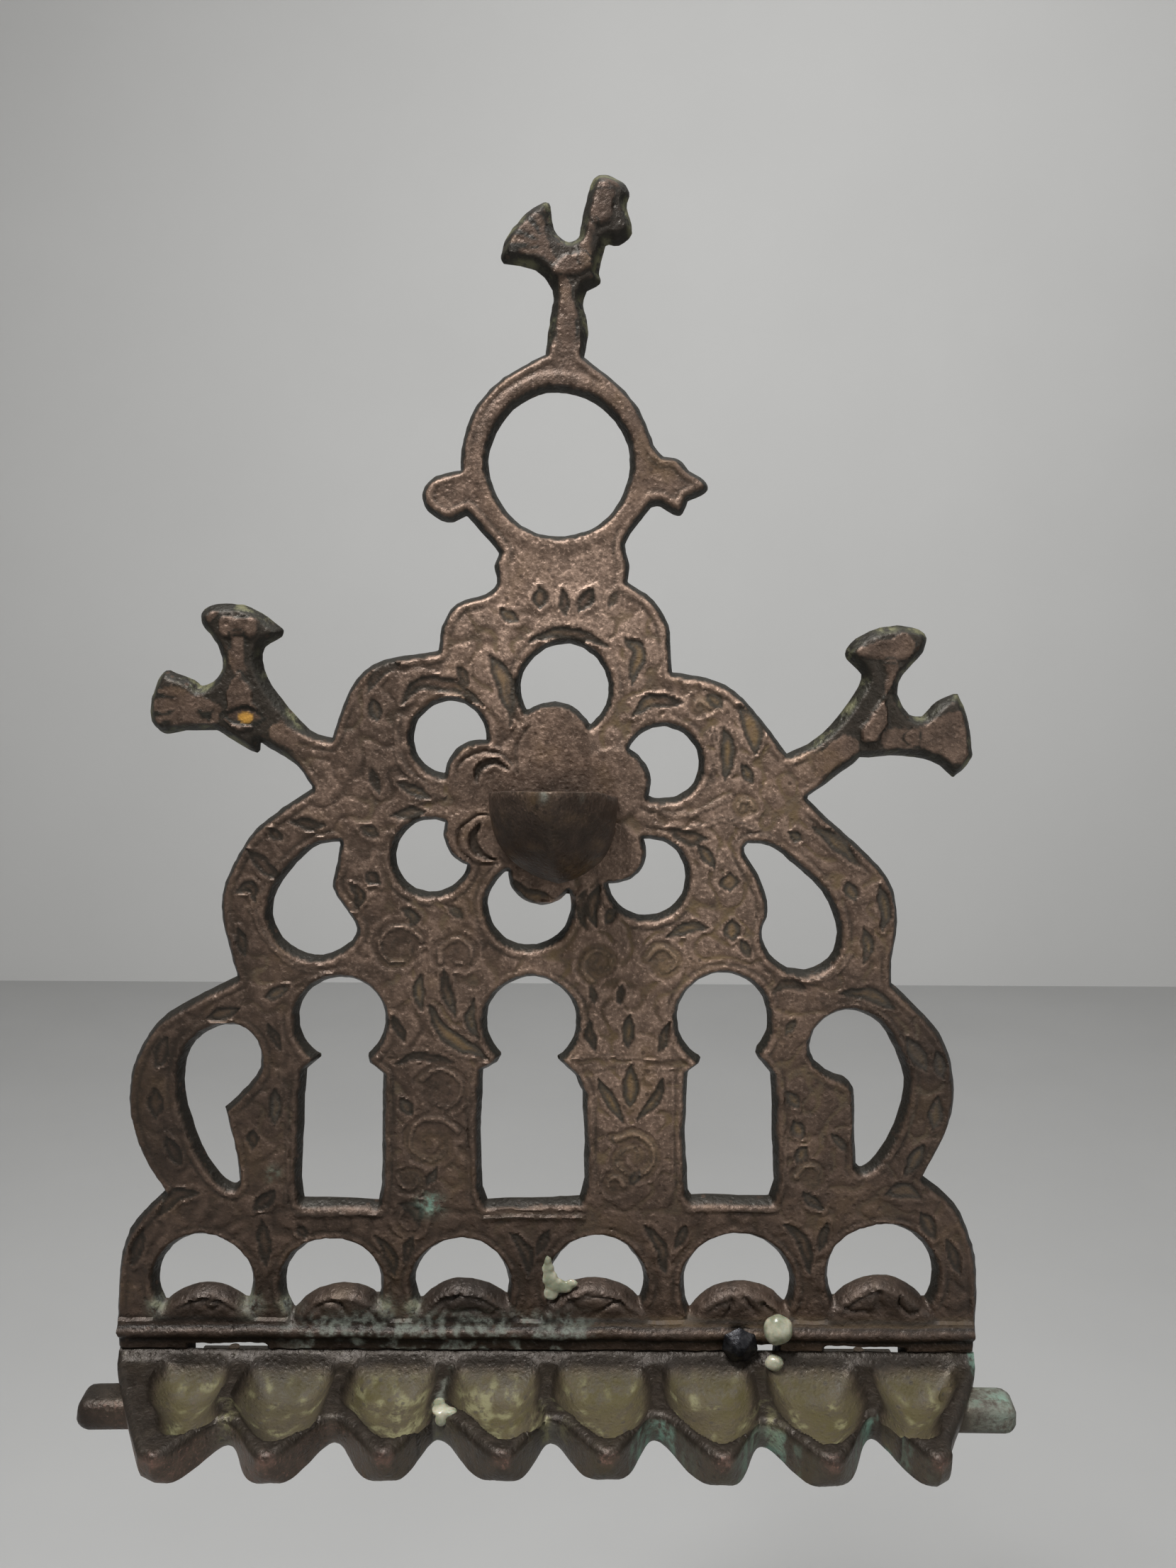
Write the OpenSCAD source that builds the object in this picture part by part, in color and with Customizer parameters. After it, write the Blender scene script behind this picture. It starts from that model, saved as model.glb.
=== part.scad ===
// Cast wall lamp: an openwork back plate, a row of eight oil pans and a servant cup.
// Drawing axes, in mm: x to the right, z up from the plate's foot, y into the wall with the plate's
// back face at y = 0. to_frame() moves the drawing so that the hanging ring's centre is the origin.

/* [Back plate] */
// Thickness of the plate
plate_t = 3; // [2.4:0.2:3.6]
// Radius of the hole in the hanging ring
ring_bore_r = 14.4; // [13.6:0.2:15]
// Outer radius of the ring's raised rim
ring_rim_r = 18.2; // [17.4:0.2:19]
// How far the ring, the rosette and the mounds stand in front of the plate
relief = 0.9; // [0.4:0.1:1.4]
// Radius of the round moulding along the foot
moulding_r = 2.1; // [1.4:0.1:2.6]
// Height of the moulding's middle above the foot
moulding_z = 18.2; // [17.5:0.1:18.6]

/* [Oil tray] */
// Height of the pans' rim above the plate's foot
rim_z = 11; // [10.4:0.1:11.4]
// Height of the tray from its underside to the rim
tray_h = 8.4; // [7.6:0.2:9]
// Depth of a pan below the rim, at its middle
pan_depth = 6.4; // [5:0.2:7]
// Radius of the dished floor of a pan
pan_dish_r = 34; // [30:1:44]
// How far the underside steps in from the rim's outline
underside_step = 2.4; // [1:0.2:3]
// Width of the rim between two pans
rim_w = 2.8; // [2.2:0.2:3.4]

/* [End lugs] */
// Length of a lug beyond the tray's end
lug_reach = 99; // [97:0.5:101]
// Front-to-back size of a lug
lug_depth = 8; // [6:0.5:9]
// Height of a lug
lug_h = 6.2; // [5:0.2:7]

/* [Servant cup] */
// Half of the cup's width
cup_half_w = 13.3; // [12:0.1:14]
// How far the cup's lip stands in front of the plate
cup_reach = 27; // [24:0.5:29]
// Height of the cup at its back
cup_h = 17.4; // [15:0.2:18]
// Wall of the cup
cup_wall = 1.7; // [1.2:0.1:2.2]
// Rise of the rim from the plate to the lip, in degrees
cup_rise = 6.5; // [3:0.5:9]

/* [Tenons and pins] */
// How far the tenons stand out behind the plate
tenon_out = 5; // [4:0.5:7]
// Height of a tray tenon
tenon_h = 3.8; // [3.2:0.2:4.2]
// Gap around a tenon in its slot
slot_gap = 0.15; // [0.1:0.05:0.3]
// Radius of the pin holes in the tenons
pin_hole_r = 1.35; // [1.3:0.05:1.5]
// Thick and thin end radii of a taper pin
pin_r = [1.25, 0.85]; // [0.6:0.05:1.25]
// Length of a taper pin
pin_l = 9.5; // [9:0.5:12]

/* [Hidden] */
$fn = 64;
eps = 0.01;

bronze = "#6f5a4b";
dark_bronze = "#4a3d33";
iron = "#26262a";
wax = "#b9bba6";

ring = [1.8, 203.4];          // hanging ring's centre, x and z
plate_left = -95.2;
plate_right = 94.4;
slot_top = 13.3;
tray_bottom = rim_z - tray_h;
tenon_z = 5;                  // underside of the tray's tenons
tenon_spans = [[-78.4, -62.6], [61.2, 77.2]];
cup_x = 0.8;
cup_rim_z = 136;              // height of the cup's rim where it meets the plate
cup_tenon = [7, 6];           // width and height
cup_tenon_z = 124;            // underside of the cup's tenon
nail = [41.6, 15.6];
gap_slot = [[45.6, 11.2], [49.8, 13.7]];

// Rosette: six petals [x, z, radius] and the six round holes that they bite into
petals = [[0.5, 146, 9], [13, 138, 8.2], [13.5, 123.6, 7.1],
          [-1.8, 118.9, 7.1], [-15.5, 127, 7], [-14.3, 139.3, 7.9]];
rosette_holes = [[3, 157.8, 9.2], [23.6, 142.2, 7.7], [20.6, 118, 8.3],
                 [-4.4, 111.8, 8.8], [-25, 122.3, 7.7], [-21, 147.3, 7.6]];

// Small arches along the foot: [x, z, radius], then [x, z] of the top of the mound inside each
arches = [[-75.7, 27.7, 10.4], [-47.5, 26.9, 10.5], [-19.2, 27.3, 10.2],
          [10.5, 28.1, 10.2], [41.2, 27.2, 11.7], [72.8, 29.6, 11.6]];
mound_tops = [[-75.3, 26.8], [-45.4, 26.8], [-18.4, 28], [10, 28.3], [42, 27.7], [72.7, 29.1]];
mound_r = 12.5;

// Lips of the pans and the notches between them: [x, distance in front of the plate]
lips = [[-75.8, 32.2], [-53.7, 32.2], [-30.7, 31.2], [-7.6, 31.2],
        [12.9, 30.6], [35.3, 32], [56.4, 32.2], [77, 32]];
notches = [[-65, 21], [-43.5, 20], [-22.4, 19], [1, 20], [22.3, 18.8], [44.2, 20.5], [67.5, 18]];
dividers = [-91, -67, -44.3, -22.4, 0, 23.3, 45.6, 68.3, 90.4];
last_pan = len(lips) - 1;

// ---- smooth outlines ----

function knot(p, i) =
    i < 0 ? 2 * p[0] - p[1] : i > len(p) - 1 ? 2 * p[len(p) - 1] - p[len(p) - 2] : p[i];
function blend(a, b, c, d, t) =
    b + (c - a) * t / 2 + (2 * a - 5 * b + 4 * c - d) * t * t / 2 + (3 * b - a - 3 * c + d) * t * t * t / 2;
// Smooth run through the knots p; its last knot is left to the next run
function run(p, n = 3) =
    [for (i = [0:len(p) - 2]) for (k = [0:n - 1])
        blend(knot(p, i - 1), p[i], p[i + 1], knot(p, i + 2), k / n)];
// Smooth closed loop through the knots p
function loop(p, n = 3) =
    let (m = len(p))
    [for (i = [0:m - 1]) for (k = [0:n - 1])
        blend(p[(i + m - 1) % m], p[i], p[(i + 1) % m], p[(i + 2) % m], k / n)];
function runs(list) = [for (p = list) each run(p)];
function reversed(p) = [for (i = [len(p) - 1:-1:0]) p[i]];

// ---- outline of the plate, from the left foot over the top to the right foot ----

left_side = [
    [[plate_left, 0], [-95.4, 12], [-95.1, 22], [-94.6, 29], [-93.2, 35.4], [-90.6, 41], [-83.7, 48.2]],
    [[-83.7, 48.2], [-86.9, 53], [-89.5, 59], [-90.9, 65], [-90.8, 71.5], [-89, 78.3], [-84.6, 85.3],
     [-79, 89.8], [-66.6, 96]],
    [[-66.6, 96], [-68.4, 102], [-69.9, 109], [-69.1, 116], [-65.7, 123.2], [-60.3, 129.3], [-50.1, 136.7]]];
left_bird = [
    [[-50.1, 136.7], [-53.3, 141.3], [-60.7, 146.3]],
    [[-60.7, 146.3], [-61.4, 144], [-66, 146.2], [-69.7, 148.7]],
    [[-69.7, 148.7], [-76, 148.6], [-80.8, 147.9], [-83.4, 150.6], [-83.3, 155.6], [-81.4, 160.2],
     [-79.7, 161.4]],
    [[-79.7, 161.4], [-74.3, 159.1], [-72.7, 157.9], [-69.4, 159.5], [-68.1, 162.6], [-69.3, 166.6],
     [-72.7, 171.2], [-71.8, 174], [-67.5, 175], [-61.8, 174.1], [-55.6, 169.8]],
    [[-55.6, 169.8], [-55.9, 168.2], [-59.5, 165.9], [-59.8, 161.3], [-56.7, 156], [-50.5, 148.8],
     [-45.8, 147.2]]];
left_lobes = [
    [[-45.8, 147.2], [-43.4, 153.6], [-40.4, 159.3], [-34.5, 163.4], [-23.3, 165.4]],
    [[-23.3, 165.4], [-22.5, 170.6], [-19.6, 175.2], [-13.6, 177.2], [-11.1, 179.6], [-11.4, 183],
     [-10.4, 185.4]]];
ring_left = [
    [[-10.4, 185.4], [-13.4, 189], [-17.2, 193.2]],
    [[-17.2, 193.2], [-21.3, 191.7], [-25.3, 194], [-26.2, 198], [-23.6, 201.2], [-18.6, 202.4]],
    [[-18.6, 202.4], [-17.9, 208.5], [-15, 215.2], [-9.6, 220.7], [-1.1, 225.2]]];
top_bird = [
    [[-1.1, 225.2], [-0.3, 231], [0.6, 235.6], [0.3, 237.9]],
    [[0.3, 237.9], [-1.5, 240.6], [-4.2, 242.3], [-9.4, 243.1]],
    [[-9.4, 243.1], [-10, 244.6], [-8.6, 248.6], [-5, 252.8], [-1.6, 254.9], [-0.2, 254.7]],
    [[-0.2, 254.7], [0.5, 249.8], [3.4, 247.2], [5.6, 248.2], [5.9, 250.2]],
    [[5.9, 250.2], [6.9, 255], [8.4, 259.4], [11.4, 260], [14.4, 258.6], [15.9, 256.5]],
    [[15.9, 256.5], [15.3, 253.6], [16.4, 249], [13.6, 246.7], [10.9, 246.6], [9.6, 241.2]],
    [[9.6, 241.2], [9.9, 239.2], [7.4, 237.8]],
    [[7.4, 237.8], [6.6, 235.3], [7.4, 230], [6.7, 224.9]]];
ring_right = [
    [[6.7, 224.9], [13.4, 219.7], [18, 214.7], [21, 207.4], [23.2, 205.1]],
    [[23.2, 205.1], [26.2, 204.6], [28.3, 202.3]],
    [[28.3, 202.3], [31.4, 200.5], [32.6, 198.8], [31.2, 197.3], [28.2, 196.2]],
    [[28.2, 196.2], [26.4, 193.3], [22.6, 195.2], [20.8, 195.1]],
    [[20.8, 195.1], [17.4, 190.9], [15.4, 187.4], [16.3, 183.4], [16, 179.8]]];
right_lobes = [
    [[16, 179.8], [21.4, 176.1], [24.5, 171.1], [25, 166.4], [25.5, 161.4]],
    [[25.5, 161.4], [32.5, 160.1], [38.4, 157.5], [43.4, 152.6], [49.8, 144.2]]];
right_bird = [
    [[49.8, 144.2], [54, 146.2], [58.6, 150.2], [62.4, 154.8], [65, 160], [63.9, 162.2]],
    [[63.9, 162.2], [61.4, 164.9], [63.6, 168.5], [68.4, 170.8], [73.5, 171.2], [77.9, 169.6],
     [77.7, 165.7], [73.4, 160.9], [72.5, 157], [75.2, 152.8], [78.2, 152.4]],
    [[78.2, 152.4], [81, 155.5], [85.1, 157.4]],
    [[85.1, 157.4], [87.4, 152.4], [88.7, 144.2]],
    [[88.7, 144.2], [87.2, 141.6], [84.8, 139.5]],
    [[84.8, 139.5], [80.5, 142.8], [74, 144], [65, 143.8]],
    [[65, 143.8], [62.4, 141.2], [54.1, 135.2]]];
right_side = [
    [[54.1, 135.2], [59, 130.4], [65.8, 124.5], [70.8, 119.3], [73.6, 113.3], [74, 106], [73.1, 100],
     [73.3, 95.2]],
    [[73.3, 95.2], [79.2, 90], [84.4, 83.5], [87.2, 76.2], [87.5, 68.5], [85.8, 61.3], [81.6, 52.2]],
    [[81.6, 52.2], [87, 47.5], [91, 41.6], [93.6, 33.6], [94.5, 24], [94.1, 12], [plate_right, 0]]];

plate_outline = concat(
    runs(left_side), runs(left_bird), runs(left_lobes), runs(ring_left), runs(top_bird),
    runs(ring_right), runs(right_lobes), runs(right_bird), runs(right_side), [[plate_right, 0]]);

// Teardrop holes in the side lobes
upper_left_hole = [
    [[-44.1, 125.2], [-50.2, 123.8], [-56.6, 117.2], [-59, 111], [-57.9, 105.8], [-54, 101.9],
     [-48.5, 100.8], [-43.6, 102.8], [-41.2, 106.3], [-43.4, 110.8], [-46.2, 115.3], [-45.3, 119.9],
     [-44.1, 125.2]]];
upper_right_hole = [
    [[42, 125.4], [41.2, 123.4], [44.9, 117.2], [46.4, 111], [45.2, 106.3], [46.9, 101.4], [51, 98.3],
     [56.5, 98.4], [60.6, 102.2], [61.2, 108.3], [57.9, 115], [51.5, 121.4], [46.2, 124.9], [42, 125.4]]];
lower_left_hole = [
    [[-67.5, 50.4], [-68.2, 57], [-70.3, 66.9]],
    [[-70.3, 66.9], [-66.7, 70.4], [-62.5, 75.8], [-63.1, 81.8], [-66.6, 84.9], [-71.4, 84.9],
     [-76.2, 81.9], [-78.9, 75.5], [-78.7, 67.5], [-75.7, 58], [-72, 51.8], [-68.9, 49.6], [-67.5, 50.4]]];
lower_right_hole = [
    [[66.9, 54.9], [66.5, 60], [66.1, 68], [64.9, 73.2], [59.8, 75.8], [56.5, 79.4], [57, 84.8],
     [60.5, 88.3], [65.5, 89.1], [71, 86], [75.2, 79], [76.8, 72], [75, 64], [71.2, 56.6], [68.4, 54.1],
     [66.9, 54.9]]];

// Tall arches: round head [x, z, radius] and the shaft below it, pinched by two pointed capitals
heads = [[-44.6, 86.6, 9.3], [-3.9, 86.5, 9.6], [37.2, 87.3, 9.8]];
shafts = [
    [[-51.5, 81.2], [-49, 79.7], [-49.1, 78.3], [-52.4, 75.6], [-53.1, 70], [-54.2, 51], [-53.6, 46.5],
     [-37.4, 46], [-36.6, 50], [-35.9, 74.7], [-38.8, 77], [-39.3, 79.7], [-37, 82.5]],
    [[-12, 81.5], [-10.1, 79.5], [-11.3, 77.2], [-14.3, 75.7], [-14.9, 62], [-14.5, 49], [-13.4, 46.2],
     [6.6, 46.9], [7.9, 51], [7.1, 71], [5.6, 74.4], [1.4, 78.4], [4, 82]],
    [[30, 82.4], [32.5, 79.2], [32.2, 77.2], [29.9, 75.4], [29.5, 62], [30.2, 48.6], [31, 47.5],
     [48, 47.4], [49, 51], [48.2, 68], [47.7, 75.2], [44.3, 79.4], [45.2, 82.8]]];

module plate_holes() {
    for (hole = [upper_left_hole, upper_right_hole, lower_left_hole, lower_right_hole]) polygon(runs(hole));
    for (i = [0:len(heads) - 1]) {
        translate([heads[i].x, heads[i].y]) circle(r = heads[i].z);
        polygon(shafts[i]);
    }
    difference() {
        for (h = rosette_holes) translate([h.x, h.y]) circle(r = h.z);
        rosette();
    }
    difference() {
        for (a = arches) translate([a.x, a.y]) circle(r = a.z);
        mounds();
    }
}
module rosette() for (p = petals) translate([p.x, p.y]) circle(r = p.z);
module mounds() for (m = mound_tops) translate([m.x, m.y - mound_r]) circle(r = mound_r);
module box_2d(low, high) translate(low) square(high - low);

// ---- helpers ----

module to_frame() translate([-ring.x, 0, -ring.y]) children();
// Extrudes a drawing in x and z towards the front, from the distance start behind the front
module upright(start, thickness)
    translate([0, -start, 0]) rotate([90, 0, 0]) linear_extrude(thickness) children();
// Extrudes a plan in x and distance in front of the plate, upwards
module plan(z, height)
    translate([0, -plate_t, z]) mirror([0, 1, 0]) linear_extrude(height) children();
module taper_pin() color(dark_bronze) cylinder(r1 = pin_r[1], r2 = pin_r[0], h = pin_l);
module pin_hole() cylinder(r = pin_hole_r, h = 20, center = true);

// ---- back plate ----

module moulding()
    translate([plate_left, -plate_t, moulding_z]) rotate([0, 90, 0])
        cylinder(r = moulding_r, h = plate_right - plate_left);

module sill(from, to, z)
    translate([from, -plate_t, z]) rotate([0, 90, 0]) cylinder(r = 0.9, h = to - from, $fn = 32);

module slot_cuts() {
    for (s = tenon_spans) box_2d([s[0] - slot_gap, tenon_z - slot_gap], [s[1] + slot_gap, slot_top]);
    box_2d(gap_slot[0], gap_slot[1]);
    box_2d([cup_x - cup_tenon.x / 2 - slot_gap, cup_tenon_z - slot_gap],
           [cup_x + cup_tenon.x / 2 + slot_gap, cup_tenon_z + cup_tenon.y + slot_gap]);
}

module back_plate() color(bronze) to_frame() difference() {
    union() {
        upright(0, plate_t) difference() {
            polygon(plate_outline);
            plate_holes();
        }
        upright(plate_t - eps, relief) translate(ring) circle(r = ring_rim_r);
        upright(plate_t - eps, relief) difference() {
            rosette();
            translate([cup_x, cup_rim_z - 6]) square([2 * cup_half_w, 30], center = true);
        }
        upright(plate_t - eps, relief) intersection() {
            mounds();
            box_2d([plate_left + 2, moulding_z], [plate_right - 2, 30]);
        }
        moulding();
        sill(-55.2, -35.8, 43.9);
        sill(-15, 7.8, 43.4);
        sill(29.6, 49.8, 45.3);
    }
    translate([ring.x, 0, ring.y]) rotate([90, 0, 0]) cylinder(r = ring_bore_r, h = 20, center = true);
    upright(-1, plate_t + 2) slot_cuts();
    translate([nail.x, 0, nail.y]) rotate([90, 0, 0]) cylinder(r = 1.7, h = 20, center = true);
}

// ---- oil tray ----

// Half a wave from the first point to the second, level at both ends; the second is left out
function swell(a, b, n = 6) =
    [for (k = [0:n - 1]) [a.x + (b.x - a.x) * k / n, b.y + (a.y - b.y) * (1 + cos(180 * k / n)) / 2]];
function lip(i, step) = [lips[i].x, lips[i].y - step];
function notch(i, step) = [notches[i].x, notches[i].y - step];
function end_wall(side, x, step) =
    run([[x - side * step, 0], [x - side * (0.8 + step), 3.5], [x - side * (7.2 + step), 16],
         [x - side * (12.6 + step), 25.8 - step / 2], [x - side * 15.4, 30.9 - step]]);
function tray_plan(step) = concat(
    end_wall(-1, -94.3, step),
    [for (i = [0:last_pan - 1]) each concat(swell(lip(i, step), notch(i, step)),
                                            swell(notch(i, step), lip(i + 1, step)))],
    [lip(last_pan, step)],
    reversed(end_wall(1, 93.4, step)));

// Distance of the tray's slanted ends from the middle, at d in front of the plate
function end_line(d) = 94.5 - 0.54 * d;
function left_edge(i, x, d) = max(x, -end_line(d) + (i == 0 ? 3.6 : 0));
function right_edge(i, x, d) = min(x, end_line(d) - (i == last_pan ? 4 : 0));
function pan_plan(i) =
    let (l = dividers[i] + rim_w / 2, r = dividers[i + 1] - rim_w / 2, t = lips[i])
    loop([[l + 3.4, 2.6], [r - 3.4, 2.6], [right_edge(i, r - 0.6, 4.6), 4.6], [right_edge(i, r, 9), 9],
          [right_edge(i, r - 1.4, 15), 15], [right_edge(i, t.x + 5.4, 22), 22], [t.x + 1.8, t.y - 3.4],
          [t.x, t.y - 2], [t.x - 1.8, t.y - 3.4], [left_edge(i, t.x - 5.4, 22), 22],
          [left_edge(i, l + 1.4, 15), 15], [left_edge(i, l, 9), 9], [left_edge(i, l + 0.6, 4.6), 4.6]]);

module pan(i) intersection() {
    plan(rim_z - pan_depth, pan_depth + 1) polygon(pan_plan(i));
    translate([(dividers[i] + dividers[i + 1]) / 2, -plate_t - 12.5, rim_z - pan_depth + pan_dish_r])
        sphere(r = pan_dish_r, $fn = 128);
}

module lug(side) {
    inner = 88;
    corner = 2;
    length = lug_reach - inner;
    plan(2, lug_h) translate([side > 0 ? inner : -lug_reach, 5]) {
        translate([side > 0 ? 0 : corner, 0]) square([length - corner, lug_depth]);
        translate([side > 0 ? length - corner : 0, corner]) square([corner, lug_depth - 2 * corner]);
        for (d = [corner, lug_depth - corner])
            translate([side > 0 ? length - corner : corner, d]) circle(r = corner);
    }
}

module tray_tenon(span) {
    middle = (span[0] + span[1]) / 2;
    difference() {
        translate([span[0], -plate_t - 1, tenon_z])
            cube([span[1] - span[0], plate_t + 1 + tenon_out, tenon_h]);
        translate([middle, pin_hole_r + 0.05, tenon_z]) pin_hole();
    }
}

module oil_tray() color(dark_bronze) to_frame() {
    difference() {
        union() {
            plan(rim_z - tray_h * 0.6, tray_h * 0.6) polygon(tray_plan(0));
            plan(tray_bottom, tray_h * 0.4 + eps) polygon(tray_plan(underside_step));
            lug(-1);
            lug(1);
        }
        for (i = [0:last_pan]) pan(i);
    }
    for (s = tenon_spans) tray_tenon(s);
}

// ---- servant cup ----

// Plan of the cup, drawn in by inset: round at the back, with a pointed lip
function cup_plan(inset) =
    let (w = cup_half_w - inset, lip_y = cup_reach - inset * 1.6)
    concat([[-w + 1.4, inset], [w - 1.4, inset]],
           run([[w - 0.3, 1.4 + inset], [w, 5], [w - 0.8, 10.5], [w - 4, 16.5], [w - 9, 22], [1.8, lip_y - 1],
                [0, lip_y], [-1.8, lip_y - 1], [-w + 9, 22], [-w + 4, 16.5], [-w + 0.8, 10.5], [-w, 5],
                [-w + 0.3, 1.4 + inset], [-w + 1.4, inset]]));

module cup_solid(inset, height) intersection() {
    translate([cup_x, 0, cup_rim_z - height]) plan(0, height + 8) polygon(cup_plan(inset));
    translate([cup_x, -plate_t - 9, cup_rim_z + 2]) sphere(r = height + 2, $fn = 128);
}

module servant_cup() color(dark_bronze) to_frame() {
    difference() {
        cup_solid(0, cup_h);
        cup_solid(cup_wall, cup_h - cup_wall);
        translate([cup_x - 30, -plate_t, cup_rim_z]) rotate([-cup_rise, 0, 0]) translate([0, -60, 0])
            cube([60, 70, 20]);
    }
    difference() {
        translate([cup_x - cup_tenon.x / 2, -plate_t - 0.8, cup_tenon_z])
            cube([cup_tenon.x, plate_t + 0.8 + tenon_out, cup_tenon.y]);
        translate([cup_x, pin_hole_r + 0.05, cup_tenon_z]) pin_hole();
    }
}

// ---- pins, nail and wax ----

module pin_at(x, z) to_frame() translate([x, pin_hole_r + 0.05, z - pin_l * 0.6]) taper_pin();
module tray_pin(span) pin_at((span[0] + span[1]) / 2, tenon_z + tenon_h / 2);
module tray_pin_left() tray_pin(tenon_spans[0]);
module tray_pin_right() tray_pin(tenon_spans[1]);
module servant_pin() pin_at(cup_x, cup_tenon_z + cup_tenon.y / 2);

module rose_nail() color(iron) to_frame() translate([nail.x, -plate_t, nail.y]) rotate([90, 0, 0]) {
    translate([0, 0, moulding_r + 0.4]) cylinder(r1 = 3.8, r2 = 1.1, h = 2.2, $fn = 6);
    translate([0, 0, moulding_r]) cylinder(r = 3.8, h = 0.4 + eps, $fn = 6);
    translate([0, 0, -plate_t - 4]) cylinder(r1 = 0.9, r2 = 1.5, h = plate_t + 4 + moulding_r + eps);
}

// Part of a ball that stands above the plane z = 0, with the ball's centre at height lift
module dome(r, lift) rotate_extrude() intersection() {
    translate([0, lift]) circle(r = r);
    square([r, lift + r]);
}
module dome_in_front(x, z, start, r, lift)
    translate([x, -plate_t - start, z]) rotate([90, 0, 0]) dome(r, lift);

module wax_drop_large() color(wax) to_frame() dome_in_front(49.8, 19.4, moulding_r, 3.3, 0.4);
module wax_drop_small() color(wax) to_frame() translate([49.2, -plate_t - 2.3, rim_z]) dome(2.1, 0.2);
module wax_lump_tray() color(wax) to_frame() translate([-22.4, -plate_t - 15.6, rim_z]) dome(2.8, -1.2);
module wax_lump_arch() color(wax) to_frame() union() {
    dome_in_front(-1.4, 31, 0, 4.4, -2.6);
    dome_in_front(-0.6, 27.4, 0, 4.2, -2.6);
}

back_plate();
oil_tray();
servant_cup();
tray_pin_left();
tray_pin_right();
servant_pin();
rose_nail();
wax_drop_large();
wax_drop_small();
wax_lump_arch();
wax_lump_tray();
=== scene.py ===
# %% [markdown]
# # A cast bronze wall lamp with eight oil pans
# The real lamp is a few rough sand castings: an openwork back plate with birds on it, a tray of eight
# pointed pans, and a servant cup. This lesson makes each casting the way a founder sees it: first a flat
# blank cut to the outline, then a front face that rises and falls with the carved pattern.
# The first cell loads the measured model, which fixes the size and place of every piece.

# %% Load the measured model
import math

import bmesh
import bpy
import numpy as np
from mathutils import Matrix, Vector, noise
from mathutils.bvhtree import BVHTree


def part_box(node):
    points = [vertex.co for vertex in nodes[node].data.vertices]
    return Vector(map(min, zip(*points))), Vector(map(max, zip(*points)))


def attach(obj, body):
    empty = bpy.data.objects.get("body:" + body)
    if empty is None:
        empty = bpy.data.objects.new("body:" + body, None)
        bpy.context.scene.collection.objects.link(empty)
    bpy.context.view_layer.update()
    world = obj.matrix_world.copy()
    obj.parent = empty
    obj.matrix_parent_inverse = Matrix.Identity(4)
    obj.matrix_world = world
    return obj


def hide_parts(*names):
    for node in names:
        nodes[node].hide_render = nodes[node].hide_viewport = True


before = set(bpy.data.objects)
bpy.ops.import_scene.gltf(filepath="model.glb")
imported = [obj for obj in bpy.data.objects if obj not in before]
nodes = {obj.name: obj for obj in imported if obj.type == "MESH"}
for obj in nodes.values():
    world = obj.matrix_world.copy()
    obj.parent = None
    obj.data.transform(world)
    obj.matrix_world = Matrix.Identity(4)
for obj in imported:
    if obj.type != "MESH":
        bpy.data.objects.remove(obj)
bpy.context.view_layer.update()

MM = 0.001
print("pieces in the model:", sorted(nodes))

# %% [markdown]
# ## Drawing coordinates
# Patterns are easier to place on a drawing than in the model's own axes. The drawing is in millimetres,
# with x to the right, z up from the foot of the plate, and a third number for how far a point stands in
# front of the plate's face. The model's origin is the middle of the hanging ring.

# %% From the drawing to the model
RING = (1.8, 203.4)  # middle of the hanging ring
PLATE_T = 3.0        # thickness of the plate


def place(x, z, front=0.0):
    return Vector(((x - RING[0]) * MM, -(PLATE_T + front) * MM, (z - RING[1]) * MM))


def drawing_xz(co):
    """Drawing x and z of an array of model points."""
    return co[:, 0] / MM + RING[0], co[:, 2] / MM + RING[1]


def smooth(low, high, value):
    """0 below low, 1 above high, and an S-shaped rise between; works on arrays."""
    t = np.clip((value - low) / (high - low), 0, 1)
    return t * t * (3 - 2 * t)


def bell(value, middle, width):
    """1 at the middle, and next to nothing two widths away from it; works on arrays."""
    return np.exp(-(((value - middle) / width) ** 2))


def noise_at(x, z, size, seed=0.0):
    """Smooth noise between about -1 and 1, with lumps of the given size in millimetres."""
    return np.array([noise.noise((a / size, b / size, seed)) for a, b in zip(x, z)])


# %% [markdown]
# ## Camera
# The lamp is looked at from a quarter of a metre away, a little from above, so the tray comes towards
# the eye and the pans are seen into. The view is rolled by a third of a degree, as a hand-held one is.

# %% Camera
LOOK_AT = Vector((0.0062, -0.003, -0.0654))
DISTANCE, PITCH, ROLL = 0.244, math.radians(6), math.radians(0.3)
axis = Vector((0, math.cos(PITCH), -math.sin(PITCH)))
right = Vector((1, 0, 0))
up = right.cross(axis)
right, up = (right * math.cos(ROLL) + up * math.sin(ROLL), up * math.cos(ROLL) - right * math.sin(ROLL))
camera = bpy.data.objects.new("camera", bpy.data.cameras.new("camera"))
bpy.context.scene.collection.objects.link(camera)
turn = Matrix((right, up, -axis)).transposed().to_4x4()
camera.matrix_world = Matrix.Translation(LOOK_AT - axis * DISTANCE) @ turn
camera.data.lens = 26.85
camera.data.sensor_width = 36
camera.data.clip_start = 0.01
bpy.context.scene.camera = camera
print("camera at", [round(v, 3) for v in camera.location])

# %% [markdown]
# ## Outline of a casting
# The measured model already has the exact outline, with every arch and hole. Its side walls go into a
# search tree. For any point of the sheet the tree gives the nearest point of the outline, and so how
# deep inside the metal the point lies. A ray through the sheet says whether it is in the metal at all.

# %% Search trees of the outline


def tree_of_faces(mesh, keep):
    bm = bmesh.new()
    bm.from_mesh(mesh)
    bmesh.ops.delete(bm, geom=[f for f in bm.faces if not keep(f)], context="FACES")
    tree = BVHTree.FromBMesh(bm)
    bm.free()
    return tree


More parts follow.
